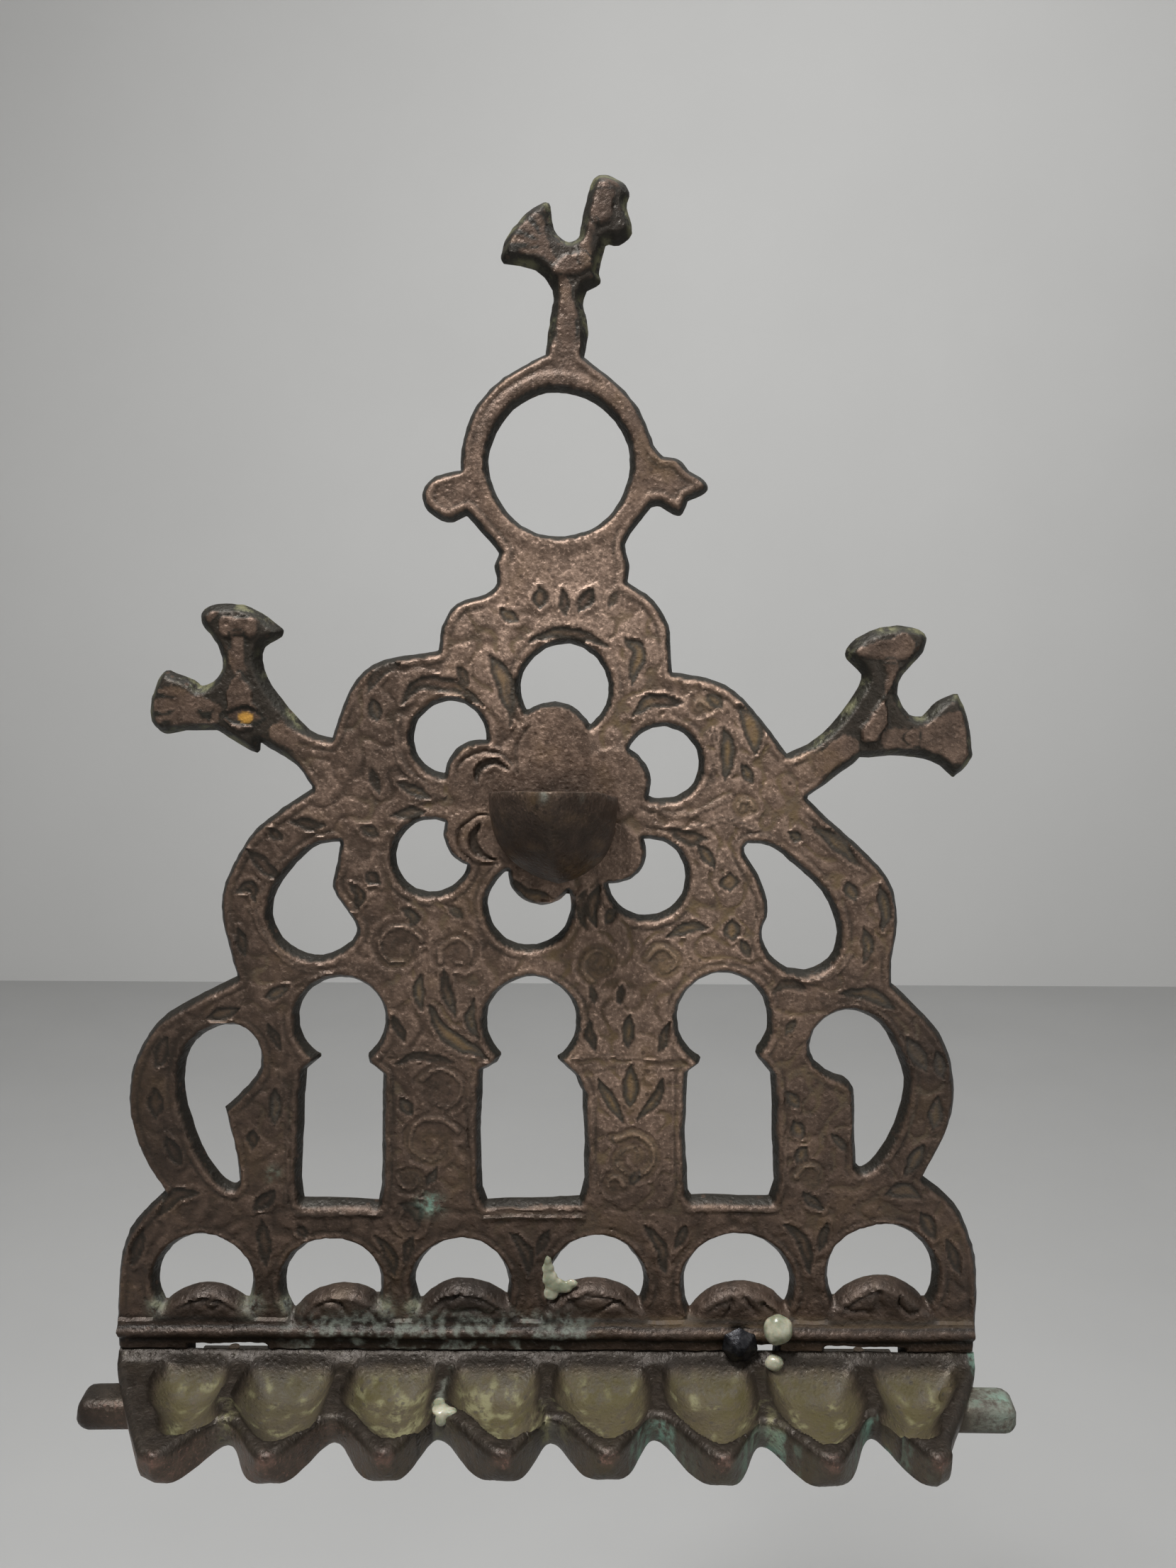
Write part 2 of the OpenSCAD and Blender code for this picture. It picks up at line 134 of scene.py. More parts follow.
class Outline:
    """The outline of a piece seen along one axis (1 = from the front, 2 = from above)."""

    def __init__(self, mesh, along, level, is_wall):
        self.along, self.level = along, level
        self.walls = tree_of_faces(mesh, is_wall)
        self.solid = tree_of_faces(mesh, lambda f: True)
        self.ray = Vector([-1.0 if i == along and along == 2 else float(i == along) for i in range(3)])

    def nearest(self, co):
        flat = Vector(co)
        flat[self.along] = self.level
        spot = self.walls.find_nearest(flat)[0]
        spot[self.along] = co[self.along]
        return spot

    def inside(self, co):
        start = Vector(co)
        start[self.along] = self.level
        return self.solid.ray_cast(start - self.ray * 0.1, self.ray)[0] is not None

    def depth(self, co):
        """Distance to the outline, negative outside the metal."""
        reach = (self.nearest(co) - co).length
        return reach if self.inside(co) else -reach


def cut_blank(outline, low, high, pitch):
    """A grid of square cells over low..high, cut to the outline, with its rim drawn onto the outline."""
    wide, tall = [i for i in range(3) if i != outline.along]
    middle = [(a + b) / 2 for a, b in zip(low, high)]
    half = [(high[wide] - low[wide]) / 2 + pitch, (high[tall] - low[tall]) / 2 + pitch]
    turn = Matrix.Rotation(math.pi / 2, 4, "X") if outline.along == 1 else Matrix.Identity(4)
    middle[outline.along] = 0
    bm = bmesh.new()
    cells = [round(2 * h / pitch) for h in half]
    bmesh.ops.create_grid(bm, x_segments=cells[0], y_segments=cells[1], size=1,
                          matrix=Matrix.Translation(middle) @ turn @ Matrix.Diagonal((*half, 1, 1)))
    depth = [outline.depth(v.co) for v in bm.verts]
    bm.verts.index_update()
    bmesh.ops.delete(bm, context="FACES",
                     geom=[f for f in bm.faces if any(depth[v.index] < -0.4 * pitch for v in f.verts)])
    bmesh.ops.delete(bm, geom=[v for v in bm.verts if not v.link_faces], context="VERTS")
    # cells that touch only at a corner would pinch the side walls
    pinched = [v for v in bm.verts if sum(e.is_boundary for e in v.link_edges) > 2]
    bmesh.ops.delete(bm, geom=list({f for v in pinched for f in v.link_faces}), context="FACES")
    bmesh.ops.delete(bm, geom=[v for v in bm.verts if not v.link_faces], context="VERTS")
    for v in bm.verts:
        if v.is_boundary:
            v.co = outline.nearest(v.co)
    return bm


def draw_crest(bm, outline, pitch, crest):
    """Draws the points near the top of the sloped edge onto it, so that it runs smooth and not in steps."""
    for v in bm.verts:
        if not v.is_boundary:
            spot = outline.nearest(v.co)
            away = v.co - spot
            width = crest(v.co)
            if abs(away.length - width) < 0.36 * pitch and away.length > 1e-6:
                v.co = spot + away * (width / away.length)


# %% [markdown]
# ## The carved pattern
# The founder's pattern was carved in wood: leaf-shaped pockets, raised scrolls and border lines. Each
# one here is a stroke: a smooth path through a few points of the drawing, with a width that swells and
# tapers along it. A stroke with a negative height is a pocket, with a lip beside it and earth in it. The
# others stand up from the face.

# %% Strokes on a sheet


def smooth_path(points, steps=7):
    """Points of a smooth curve through the given ones (Catmull-Rom)."""
    p = [np.array(q, float) for q in points]
    p = [2 * p[0] - p[1]] + p + [2 * p[-1] - p[-2]]
    path = []
    for a, b, c, d in zip(p, p[1:], p[2:], p[3:]):
        for t in np.arange(steps) / steps:
            path.append(b + (c - a) * t / 2 + (2 * a - 5 * b + 4 * c - d) * t**2 / 2
                        + (3 * b - a - 3 * c + d) * t**3 / 2)
    return np.array(path + [p[-2]])


WIDTHS = {
    "leaf": lambda t: np.sin(np.pi * np.clip(t, 0.02, 0.98)) ** 0.75,
    "drop": lambda t: np.minimum(np.sqrt(t * 7 + 0.25), 1) * (1 - t) ** 0.65 + 0.04,
    "line": lambda t: np.ones_like(t),
    "taper": lambda t: 1 - 0.7 * t,
}


STRAY, STRAY_LENGTH = 0.5, 3.4  # how far the carver's line strays, and over what length
POCKET_GAIN = 1.55              # pockets count as this much deeper than their strokes say
LIP = 0.42                      # height of the lip beside a pocket, for each mm of its depth


def nearest_on_path(path, x, z):
    """Distance of each point from the path, and how far along it the nearest spot is, from 0 to 1."""
    best, along = np.full(x.shape, np.inf), np.zeros(x.shape)
    run = np.concatenate([[0], np.cumsum(np.hypot(*np.diff(path, axis=0).T))])
    for i in range(len(path) - 1):
        (ax, az), (bx, bz) = path[i], path[i + 1]
        length = max(run[i + 1] - run[i], 1e-9)
        t = np.clip(((x - ax) * (bx - ax) + (z - az) * (bz - az)) / length**2, 0, 1)
        d = np.hypot(x - ax - t * (bx - ax), z - az - t * (bz - az))
        closer = d < best
        best[closer] = d[closer]
        along[closer] = ((run[i] + t * length) / run[-1])[closer]
    return best, along


class Sheet:
    """The face of a casting, point by point: its pattern, the earth in its pockets, and the painted shade on
    the walls of its pockets and strokes.
    """

    def __init__(self, x, z):
        self.x = x + STRAY * noise_at(x, z, STRAY_LENGTH, 21.0)
        self.z = z + STRAY * noise_at(x, z, STRAY_LENGTH, 27.0)
        self.cut, self.raised = np.zeros_like(x), np.zeros_like(x)
        self.earth, self.wall = np.zeros_like(x), np.zeros_like(x)

    def lift(self, near, **layers):
        """Each named layer takes the new values where they are higher than its own."""
        for name, values in layers.items():
            layer = getattr(self, name)
            layer[near] = np.maximum(layer[near], values)

    def stroke(self, shape, half, height, points, earth=0.8, shade=1.0):
        path = smooth_path(points)
        reach = np.max(half) * 1.3 + 1.2
        near = ((self.x > path[:, 0].min() - reach) & (self.x < path[:, 0].max() + reach)
                & (self.z > path[:, 1].min() - reach) & (self.z < path[:, 1].max() + reach))
        distance, along = nearest_on_path(path, self.x[near], self.z[near])
        first, last = (half, half) if np.isscalar(half) else half
        width = np.maximum((first + (last - first) * along) * WIDTHS[shape](along), 0.12)
        outside = distance - width
        body = smooth(0.3, -0.4, outside)
        if height < 0:
            depth = -POCKET_GAIN * height
            self.cut[near] = np.minimum(self.cut[near], -depth * body)
            # painted shade: a dark band along the inside of the pocket's wall
            inner = smooth(0.25, -0.05, outside) * smooth(-1.4, -0.6, outside)
            self.lift(near, raised=LIP * min(depth, 1) * np.exp(-((outside / 0.45 - 1.1) ** 2)),
                      earth=earth * smooth(0.0, -0.6, outside), wall=shade * inner * min(depth, 1))
        else:
            # a raised stroke gets painted shade on its slopes
            self.lift(near, raised=height * body, wall=2.4 * body * (1 - body) * smooth(0.1, 0.5, height))

    def scroll(self, x, z, radius, start, turns, half=0.75, height=1.3):
        """A raised spiral that winds inwards; start in degrees, turns negative for clockwise."""
        path = []
        for i in range(13):
            angle, r = math.radians(start) + 2 * math.pi * turns * i / 12, radius * (1 - 0.78 * i / 12)
            path.append((x + r * math.cos(angle), z + r * math.sin(angle)))
        self.stroke("line", half + 0.8, -0.6, path, 0.5, 0.2)
        self.stroke("taper", half, height, path)

# %% [markdown]
# ## Pockets, ridges and scrolls of the back plate
# Every stroke gives its half width, its depth or height, and the points it runs through on the drawing.
# Leaves taper at both ends, drops are round where they start and run out to a point.

# %% Strokes of the plate
LEAVES = [
    # around the top hole and on the top lobe
    (1.6, -0.8, (-2.2, 178.4), (-1.8, 174.2)), (1.2, -0.6, (2.6, 178), (3.4, 172.8)),
    (1.5, -0.7, (9.2, 178), (6, 173.8)), (1.0, -0.5, (13.8, 177.6), (12.2, 175)),
    (1.3, -0.6, (-10, 174.2), (-6.4, 171.2)),
    (1.3, -0.8, (-4.5, 167.6), (0.3, 169.2), (6, 168.9), (11.9, 166.6)),
    (1.6, -0.9, (15.6, 168.2), (18.1, 165.3), (17, 158.8)),
    (1.9, -0.9, (-12.5, 164.5), (-9.6, 160), (-8.4, 152.5)), (1.2, -0.6, (-19.2, 162), (-16.8, 158.4)),
    (0.9, -0.5, (-7.2, 159.8), (-8.4, 150)),
    # upper left lobe
    (1.4, -0.9, (-36.5, 155.4), (-36, 151)), (1.1, -0.6, (-37.8, 156.8), (-35.2, 160.8), (-31, 162.4)),
    (1.5, -0.9, (-31, 154.8), (-26.7, 158.6), (-20, 158), (-14, 154.4)),
    (1.0, -0.6, (-37.2, 141), (-35.4, 135.6)), (1.2, -0.7, (-31.6, 137.6), (-24.6, 135)),
    (1.3, -0.6, (-39.6, 129), (-36, 126.8)), (1.3, -0.7, (-33, 131), (-26, 132)),
    # left middle lobe
    (1.2, -0.7, (-54.4, 129.8), (-47, 129)), (1.3, -0.7, (-58.6, 128), (-56, 126)),
    (1.5, -0.9, (-63.4, 123.6), (-60.6, 121), (-56.4, 117.4)),
    (1.2, -0.7, (-66.2, 114.6), (-63, 116), (-62, 112.6)), (1.3, -0.7, (-66, 107), (-64.4, 101)),
    (1.2, -0.8, (-42, 116.4), (-40, 114), (-41, 111)), (1.4, -0.9, (-38.4, 119.4), (-35.6, 116.2)),
    (1.2, -0.8, (-31, 111.4), (-28.6, 109.4), (-29.4, 107.6)), (1.0, -0.6, (-21.4, 112), (-18.4, 109.4)),
    # between the scrolls and the tall arches
    (1.4, -0.8, (-27, 97), (-28, 93.6), (-27, 89.6)), (1.2, -0.8, (-22.6, 98), (-21.6, 93), (-19.6, 88)),
    (1.7, -0.9, (-25.6, 90.6), (-23.3, 86), (-19.8, 82.6), (-13, 78.8)),
    (1.1, -0.7, (-16, 92), (-16.8, 87), (-15, 83)), (1.1, -0.7, (-33.4, 88), (-31, 82.6)),
    # column left of the middle
    (1.2, -0.8, (-31.8, 70), (-29.8, 66.2)), (1.1, -0.7, (-24.6, 54.6), (-26.4, 50.6)),
    (1.3, -0.8, (-32.4, 46.4), (-28.6, 44.8), (-28, 41.6)),
    (1.0, -0.6, (-20.6, 78), (-27, 79.4), (-33, 77.8)),
    # column right of the middle
    (1.6, -0.9, (17.6, 77.4), (17.4, 73), (17.4, 68.4)),
    (1.3, -0.7, (10.4, 74.8), (13, 70), (16.2, 65.2)), (1.2, -0.7, (24.6, 74.8), (22.8, 70), (19, 65.4)),
    (1.2, -0.7, (19.6, 54), (17.6, 50.8)), (1.1, -0.7, (8.4, 87.4), (8.6, 84), (10, 80.6)),
    (1.2, -0.8, (17, 88.6), (17, 81.6)), (1.1, -0.7, (25.4, 87), (24.6, 84), (23.4, 80.6)),
    (0.9, -0.6, (9, 95), (9.6, 91)), (0.9, -0.6, (15.6, 95), (15, 91)),
    (1.4, -0.8, (10.6, 116.6), (9, 112), (10, 107.6)), (1.0, -0.7, (7.4, 115.4), (6.6, 111), (7.8, 107)),
    (1.2, -0.7, (14, 112), (12, 108.2)),
    # arcs cut into the petals, and the hollow under the cup
    (0.8, -0.5, (-15.2, 138), (-14.4, 141.4), (-11.4, 142.6), (-8.6, 141)),
    (0.45, -0.3, (-19.8, 139), (-18.6, 142.6), (-14.6, 144.8), (-10, 144.4), (-6.4, 140.4)),
    (0.9, -0.5, (-14.2, 129.6), (-16, 126.6), (-14.4, 123.2), (-11.4, 122)),
    (0.45, -0.3, (-10, 131.4), (-16.4, 130.6), (-19, 126.4), (-16.6, 121.8), (-11, 120.6)),
    (0.45, -0.25, (-6.4, 140.8), (-6.6, 146), (-3.6, 150.4)),
    (1.3, -0.6, (-7.8, 118), (-4.6, 114.6), (1, 113.6)),
    # right of the rosette
    (1.3, -0.9, (24.6, 105.6), (29, 107.6), (33.6, 107.6)), (1.7, -0.9, (38.6, 109.2), (38.4, 105)),
    (1.1, -0.7, (40.4, 105), (42.2, 101.6)), (2.3, -0.8, (38, 119.4), (38, 115.6)),
    (1.4, -0.8, (31, 125.4), (34.6, 120.6)), (1.4, -0.8, (25, 128.6), (29, 126.6), (33, 126.8)),
    (1.5, -0.9, (36, 149.8), (37, 146), (36.4, 139)),
    (2.0, -1.0, (39.4, 154.4), (42.4, 149), (42.8, 144.6)), (1.3, -0.7, (32.6, 156.8), (35.6, 154)),
    (1.5, -0.9, (17, 152), (21, 155.2), (27.4, 155)), (1.3, -0.7, (40, 142.2), (42.6, 138.4)),
    (1.1, -0.7, (49.8, 127.6), (53, 126.6)), (1.4, -0.8, (55, 129.4), (60, 126), (65, 121)),
    (1.4, -0.7, (62.6, 117.6), (64.4, 113.6)), (1.3, -0.8, (69.4, 117), (70.8, 112), (70.4, 107)),
    (1.3, -0.8, (66.4, 107.6), (67.4, 104), (66.6, 100)),
    # lower right lobe
    (1.7, -0.8, (76.6, 84), (80.6, 76.4)), (1.4, -0.7, (82.6, 81), (84.6, 75)),
    (1.6, -0.8, (83.4, 71), (83, 63.4)), (1.5, -0.7, (80.6, 60), (77.4, 53.4)),
    (1.5, -0.8, (51, 72), (53.4, 68.4)), (1.6, -0.8, (52.4, 65.4), (54.6, 61.6)),
    (1.4, -0.8, (55.6, 59.4), (53.2, 56)), (1.1, -0.6, (61, 62.4), (64.2, 58.6)),
    (1.3, -0.7, (55, 49), (59.6, 45.4)), (1.7, -0.8, (73, 48.6), (77, 50.2), (80.6, 48)),
    (1.5, -0.8, (80.4, 45), (84.2, 39)), (1.3, -0.7, (86.6, 39), (89.4, 31)),
    (1.5, -0.8, (62, 93.6), (68, 93.4), (73.6, 90.4)),
    (1.1, -0.6, (47.4, 93.4), (50.6, 95.4), (54.6, 94.6)), (1.0, -0.6, (52.4, 88), (50.2, 84.4)),
    # lower left lobe
    (1.7, -0.8, (-81.6, 83), (-84.2, 76.6)), (1.6, -0.8, (-84.6, 72), (-84.4, 65)),
    (1.5, -0.7, (-82.6, 61), (-79.6, 55)), (1.4, -0.8, (-58.8, 72), (-58.8, 64)),
    (1.3, -0.7, (-63.6, 63), (-63.8, 58.4)), (1.5, -0.8, (-73, 87.6), (-66, 89.4)),
    (1.4, -0.7, (-60.4, 92), (-55.4, 94.4)), (1.1, -0.7, (-60, 86), (-57, 80)),
    (1.4, -0.7, (-59.4, 49), (-64, 44.6)), (1.5, -0.8, (-76, 48.4), (-81, 47.6), (-84.4, 43.4)),
    (1.3, -0.7, (-88.2, 40), (-90.8, 32)),
    # between the small arches
    (1.5, -0.8, (-62.4, 42.4), (-61.8, 37), (-61.6, 32)), (1.3, -0.7, (-54.6, 41.2), (-53, 38.4)),
    (1.4, -0.8, (-37.6, 39), (-34.6, 34.6), (-33.6, 30)), (1.2, -0.7, (-29.6, 39), (-31.4, 33)),
    (1.4, -0.8, (-8.4, 40), (-5, 36), (-4.4, 30)), (1.1, -0.6, (0, 40.4), (-2.6, 35)),
    (1.4, -0.8, (20.8, 41.4), (24.4, 37), (25.4, 31)), (1.1, -0.7, (30, 41.6), (27.4, 36.4)),
    (1.4, -0.8, (51.4, 42), (55.4, 38), (57, 31)), (1.1, -0.7, (60.8, 42.4), (58.8, 36)),
]
SCROLLS = [
    # x, z, radius, start angle, turns
    (-32, 103, 5.2, 20, 1.5), (-19.3, 101.4, 4.2, 200, -1.3), (-22.9, 71.6, 5.2, 150, -1.5),
    (-25.3, 60.2, 6, 20, 1.5), (-30, 52, 2.6, 180, 1.0), (-29.6, 42.6, 3.4, 60, 1.2),
    (17.9, 56.8, 5.8, 130, -1.4), (14.2, 50.6, 2.2, 0, 1.0), (10.6, 99.8, 3.9, 250, -1.3),
    (24.3, 99.8, 3.6, 160, -1.2), (40.7, 133.3, 1.8, 0, 1.0), (30.9, 154.2, 1.6, 0, 0.95),
    (56.6, 52.2, 3.4, 170, -0.9),
]
RIDGES = [
    ("line", 0.5, 0.35, (-33.6, 75.6), (-33.4, 62), (-33.8, 48)),
    ("line", 0.5, 0.35, (-17.4, 76), (-17.2, 62), (-17.6, 48)),
    ("line", 0.5, 0.3, (9.8, 76.4), (10, 62), (10.2, 48.6)),
    ("line", 0.5, 0.3, (26.6, 75.4), (26.4, 62), (26.8, 49)),
    ("line", 0.5, 0.35, (4.6, 79), (12, 79.8), (19, 79.2), (29, 79.4)),
    ("line", 0.45, 0.3, (6.6, 77), (18, 77.2), (28.6, 77)),
    ("line", 0.5, 0.35, (-37.6, 78.8), (-26, 80.6), (-15, 78.6)),
    ("line", 0.5, 0.4, (-57.6, 76), (-56.4, 60), (-57, 47)),
    ("line", 0.5, 0.35, (50.8, 75), (51, 60), (50.4, 48)),
    ("line", 0.55, 0.5, (20.6, 132.6), (28, 131.4), (36, 134.4)),
    ("line", 0.55, 0.45, (21, 129.4), (29, 128.6), (37, 130.4), (46, 127.4)),
    ("line", 0.5, 0.4, (-33, 127), (-28, 133.6), (-22, 135.6)),
    ("line", 0.55, 0.45, (-62.7, 111), (-60.7, 105.7), (-57.3, 101.7), (-53.3, 98.6), (-47, 97.6)),
    ("line", 0.55, 0.45, (48, 96.4), (54, 95.8), (60.4, 97.8), (64, 102)),
    ("line", 0.6, 0.4, (-31.3, 151.7), (-31.8, 147), (-30.4, 141), (-26, 137.4)),
    ("line", 0.55, 0.4, (33.4, 150), (34.8, 144), (33, 137.6)),
    ("line", 0.5, 0.3, (-57.6, 93), (-50, 96.6), (-40, 98.6)),
    ("line", 0.5, 0.35, (-64.6, 92.4), (-70, 88.4), (-76, 85.6)),
    ("line", 0.5, 0.35, (58, 92), (66, 91.6), (72.6, 87.6)),
]

# %% [markdown]
# ## Height of the plate's face
# The face is built up in the order of the pattern: the flat sheet, then the ring, the rosette, the mounds
# in the small arches, the tool marks, the round moulding and the sills. The step that adds the moulding
# also lifts the floors of the pockets to the plane of the plate, so they have no depth here, and show only
# by their lips, the earth in them and the painted shade on their walls. On the real lamp they are sunk.
# The edge of the casting slopes all round, because a pattern with upright sides would tear the sand when it
# was drawn out. The birds have broader slopes.

# %% Height of the plate's face, in millimetres from its back
PETALS = [(0, 133, 12.5), (0.5, 146, 9), (13, 138, 8.2), (13.5, 123.6, 7.1), (-1.8, 118.9, 7.1),
          (-15.5, 127, 7), (-14.3, 139.3, 7.9)]
MOUNDS = [(-75.3, 26.8), (-45.4, 26.8), (-18.4, 28), (10, 28.3), (42, 27.7), (72.7, 29.1)]
SILLS = [(-55.2, -35.8, 43.9), (-15, 7.8, 43.4), (29.6, 49.8, 45.3)]
MOUND_R, MOUND_DROP = 12.5, 12.5  # radius of a mound, and how far below its top its middle lies
BAR_Z, BAR_R, BAR_RISE = 17.2, 1.5, 2.0
SILL_R = 0.65
BIRD_T = 2.1                     # level that the birds' flats rise from, below the plate's plane


def bird_zone(x, z):
    """1 on the three birds and their stems, 0 on the rest of the plate."""
    left = smooth(-49, -54, x) * smooth(140, 145, z)
    far_right = smooth(53, 57, x) * smooth(137, 141, z)
    top = smooth(226, 229, z)
    return np.maximum(np.maximum(left, far_right), top)


def mound_distance(x, z):
    """Distance in mm from the middle of the circle that the nearest mound is a slice of."""
    return np.min([np.hypot(x - a, z - b + MOUND_DROP) for a, b in MOUNDS], axis=0)


def edge_width(x, z):
    """Width of the sloped edge."""
    return 1.2 + 0.5 * bird_zone(x, z)


BIRD_FLATS = [
    # half width (or first and last), height above BIRD_T, and the middle line of each flat
    # left bird: head, crest, neck, breast, tail, arm
    ((2.3, 2.0), 1.5, (-66.2, 170.4), (-61.6, 170)), (0.8, 1.0, (-70.4, 171.6), (-68.8, 173)),
    (1.5, 1.1, (-64.5, 168), (-64.4, 161.4)), ((0.6, 3.9), 1.5, (-64.2, 161), (-63.8, 152.4)),
    ((3.0, 4.6), 0.9, (-70.6, 152.4), (-79, 153.6)), (2.3, 1.1, (-56.4, 148.6), (-48, 143.2), (-44, 141)),
    # right bird: head, throat, breast, rump, tail, arm
    ((1.5, 3.0), 1.2, (64.6, 165.6), (72.4, 166.6)), ((1.6, 0.6), 1.4, (70.4, 163.6), (69.5, 156.4)),
    ((0.5, 2.2), 1.9, (69.6, 156), (66.6, 148.6)), (2.4, 0.7, (70.6, 148), (75, 147.8)),
    ((2.6, 6.6), 1.0, (76.6, 148.4), (86.4, 148.4)), (2.6, 1.1, (62, 146.2), (54, 140.8), (48, 137)),
    # top bird: stem, breast, neck, head, cap, tail
    ((2.4, 1.7), 1.0, (2.6, 224), (2.9, 231), (2.8, 238)), ((2.3, 2.0), 1.5, (2.4, 241.4), (6.2, 242.8)),
    ((1.7, 1.2), 1.4, (6.8, 244), (8.2, 250)), ((2.2, 2.8), 1.5, (9.4, 251.6), (10.6, 255.4)),
    (1.3, 1.0, (10, 258), (12.8, 258)), ((0.8, 4.6), 0.9, (0.2, 243.6), (-5, 248.2)),
]


FEATHERS = [((-8.2, 245.4), (-2.4, 245.8)), ((-7, 248.4), (-2.6, 247)), ((-4.6, 251.2), (-2, 248.2)),
            ((-82.2, 156.4), (-78, 155.2)), ((-82.6, 152.2), (-78, 152.6)), ((-81, 149.4), (-78.4, 150.4))]
WING_SLOT = [(-73, 153), (-71.4, 152), (-70, 153)]
BREAST_HOLE = [(-67.6, 151.8), (-63.6, 151.9), (-59.4, 151.8)]


def bird_relief(sheet):
    """The sheet of the birds: heads, necks, breasts and tails stand up as flats."""
    flats = Sheet(sheet.x, sheet.z)
    for half, height, *points in BIRD_FLATS:
        flats.stroke("line", half, height, points)
    for points in FEATHERS:
        flats.stroke("taper", 0.55, -0.5, points, 0)
    flats.stroke("leaf", 0.7, -0.5, WING_SLOT, 0.1)
    flats.stroke("leaf", 2.3, -1.9, BREAST_HOLE, 1.6)
    return flats


def carved_sheet(x, z):
    """The sheet with every stroke of the plate but the birds'."""
    sheet = Sheet(x, z)
    for half, height, *points in LEAVES:
        sheet.stroke("leaf", half, height, points)
    for turn in SCROLLS:
        sheet.scroll(*turn)
    for shape, half, height, *points in RIDGES:
        sheet.stroke(shape, half, height, points)
    return sheet


def tool_marks(sheet, x, z, where):
    """Faint grooves and ridges that wind between the leaves."""
    wander = np.abs(noise_at(x, z, 5.6, 41.0))
    marked = where * smooth(0.3, 0.1, sheet.raised - sheet.cut)
    return marked * smooth(0.12, 0.03, wander), marked * smooth(0.10, 0.18, wander)


def moulding_and_sills(x, z):
    """Heights over the plate. The moulding is a round bar under a fillet, with a recess below it."""
    bar = BAR_RISE * np.sqrt(np.maximum(1 - ((z - BAR_Z) / BAR_R) ** 2, 0))
    fillet = 0.75 * smooth(18.3, 18.6, z) * smooth(20.0, 19.6, z)
    recess = 0.7 * smooth(13.0, 13.4, z) * smooth(17.4, 17.2, z)
    height = np.maximum(np.maximum(bar, fillet), recess)
    for x0, x1, level in SILLS:
        sill = np.sqrt(np.maximum(SILL_R**2 - (z - level) ** 2, 0))
        height = np.maximum(height, sill * smooth(x0 - 0.5, x0 + 0.5, x) * smooth(x1 + 0.5, x1 - 0.5, x))
    return height


def slope_at(x, z, depth, rounded):
    """0 at the outline and 1 where the sloped edge ends; the mounds have a wider, round edge."""
    slope = np.clip(depth / (edge_width(x, z) + 1.9 * rounded), 0, 1)
    return slope**0.85 * (1 - rounded) + rounded * np.sqrt(1 - (1 - slope) ** 2)


def plate_face(x, z, depth):
    """Height of the face, its sheet and its slope, for arrays of drawing points."""
    sheet, birds = carved_sheet(x, z), bird_zone(x, z)
    ring = 0.45 * smooth(18.5, 17.0, np.hypot(x - RING[0], z - RING[1]))
    petal = np.max([smooth(r, r - 1.3, np.hypot(x - a, z - b)) for a, b, r in PETALS], axis=0)
    low, mound_r = smooth(18, 19, z) * smooth(30.5, 29.6, z), mound_distance(x, z)
    mound = low * smooth(MOUND_R, MOUND_R - 0.9, mound_r)
    lumps = low * (0.16 * noise_at(x, z, 2.4, 6.1) + 0.1 * noise_at(x, z, 1.1, 7.3))
    # a thin rim follows every edge, and a groove inside it cuts back what stands up there
    plain = (1 - birds) * (1 - 2.2 * ring) * smooth(20, 24, z) * (1 - petal)
    border = bell(depth, 2.6, 0.4) * smooth(-0.45, 0.3, noise_at(x, z, 9, 3.3)) * plain
    rim = bell(depth, 1.75, 0.5) * plain
    face = (PLATE_T + 0.9 * ring + 0.6 * petal + 0.8 * mound - lumps - 0.5 * border + 0.3 * rim
            + sheet.cut + sheet.raised)
    flats = bird_relief(sheet)
    face = face * (1 - birds) + birds * (BIRD_T + flats.raised + flats.cut)
    groove, ridge = tool_marks(sheet, x, z, plain * smooth(176, 170, z) * smooth(1.4, 2.4, depth))
    # adds the moulding and the sills, and fills all that lies below the plane of the plate
    face = np.maximum(face - 0.6 * groove + 0.25 * ridge, PLATE_T + moulding_and_sills(x, z))
    everywhere = slice(None)
    # for the colour only: grooves get earth and painted shade, rims and ridges count as raised and so get a
    # painted highlight, and the low parts of the birds get painted shade
    sheet.lift(everywhere, earth=0.8 * groove, wall=0.35 * groove, raised=0.16 * ridge)
    sheet.lift(everywhere, earth=flats.earth * birds, wall=0.7 * border, raised=0.35 * rim)
    sheet.lift(everywhere, wall=birds * np.maximum(smooth(0.9, 0.25, flats.raised), 2 * flats.wall))
    slope = slope_at(x, z, depth, low * smooth(13.2, 12.6, mound_r))
    rough = 0.07 * noise_at(x, z, 2.2, 1.7) + 0.05 * noise_at(x, z, 0.9, 8.2)
    return (0.5 + (face - 0.5) * slope) + rough * smooth(0.2, 0.8, slope), sheet, slope

# %% [markdown]
# ## From a blank to a casting
# The cut blank is extruded once, so it has a back, a front and side walls. Then the front is moved to the
# height of the face. A collapse decimation thins the flat parts and keeps the carved ones, to stay well
# under the number of triangles that a printer's file is allowed.

# %% Helpers that finish a piece


def to_object(bm, name):
    mesh = bpy.data.meshes.new(name)
    bm.to_mesh(mesh)
    bm.free()
    piece = bpy.data.objects.new(name, mesh)
    bpy.context.scene.collection.objects.link(piece)
    return piece


def bake_modifiers(piece):
    """Makes the result of the piece's modifiers its own mesh."""
    graph = bpy.context.evaluated_depsgraph_get()
    mesh = bpy.data.meshes.new_from_object(piece.evaluated_get(graph))
    piece.modifiers.clear()
    piece.data = mesh
    mesh.name = piece.name


def triangles_of(piece):
    return sum(len(p.vertices) - 2 for p in piece.data.polygons)


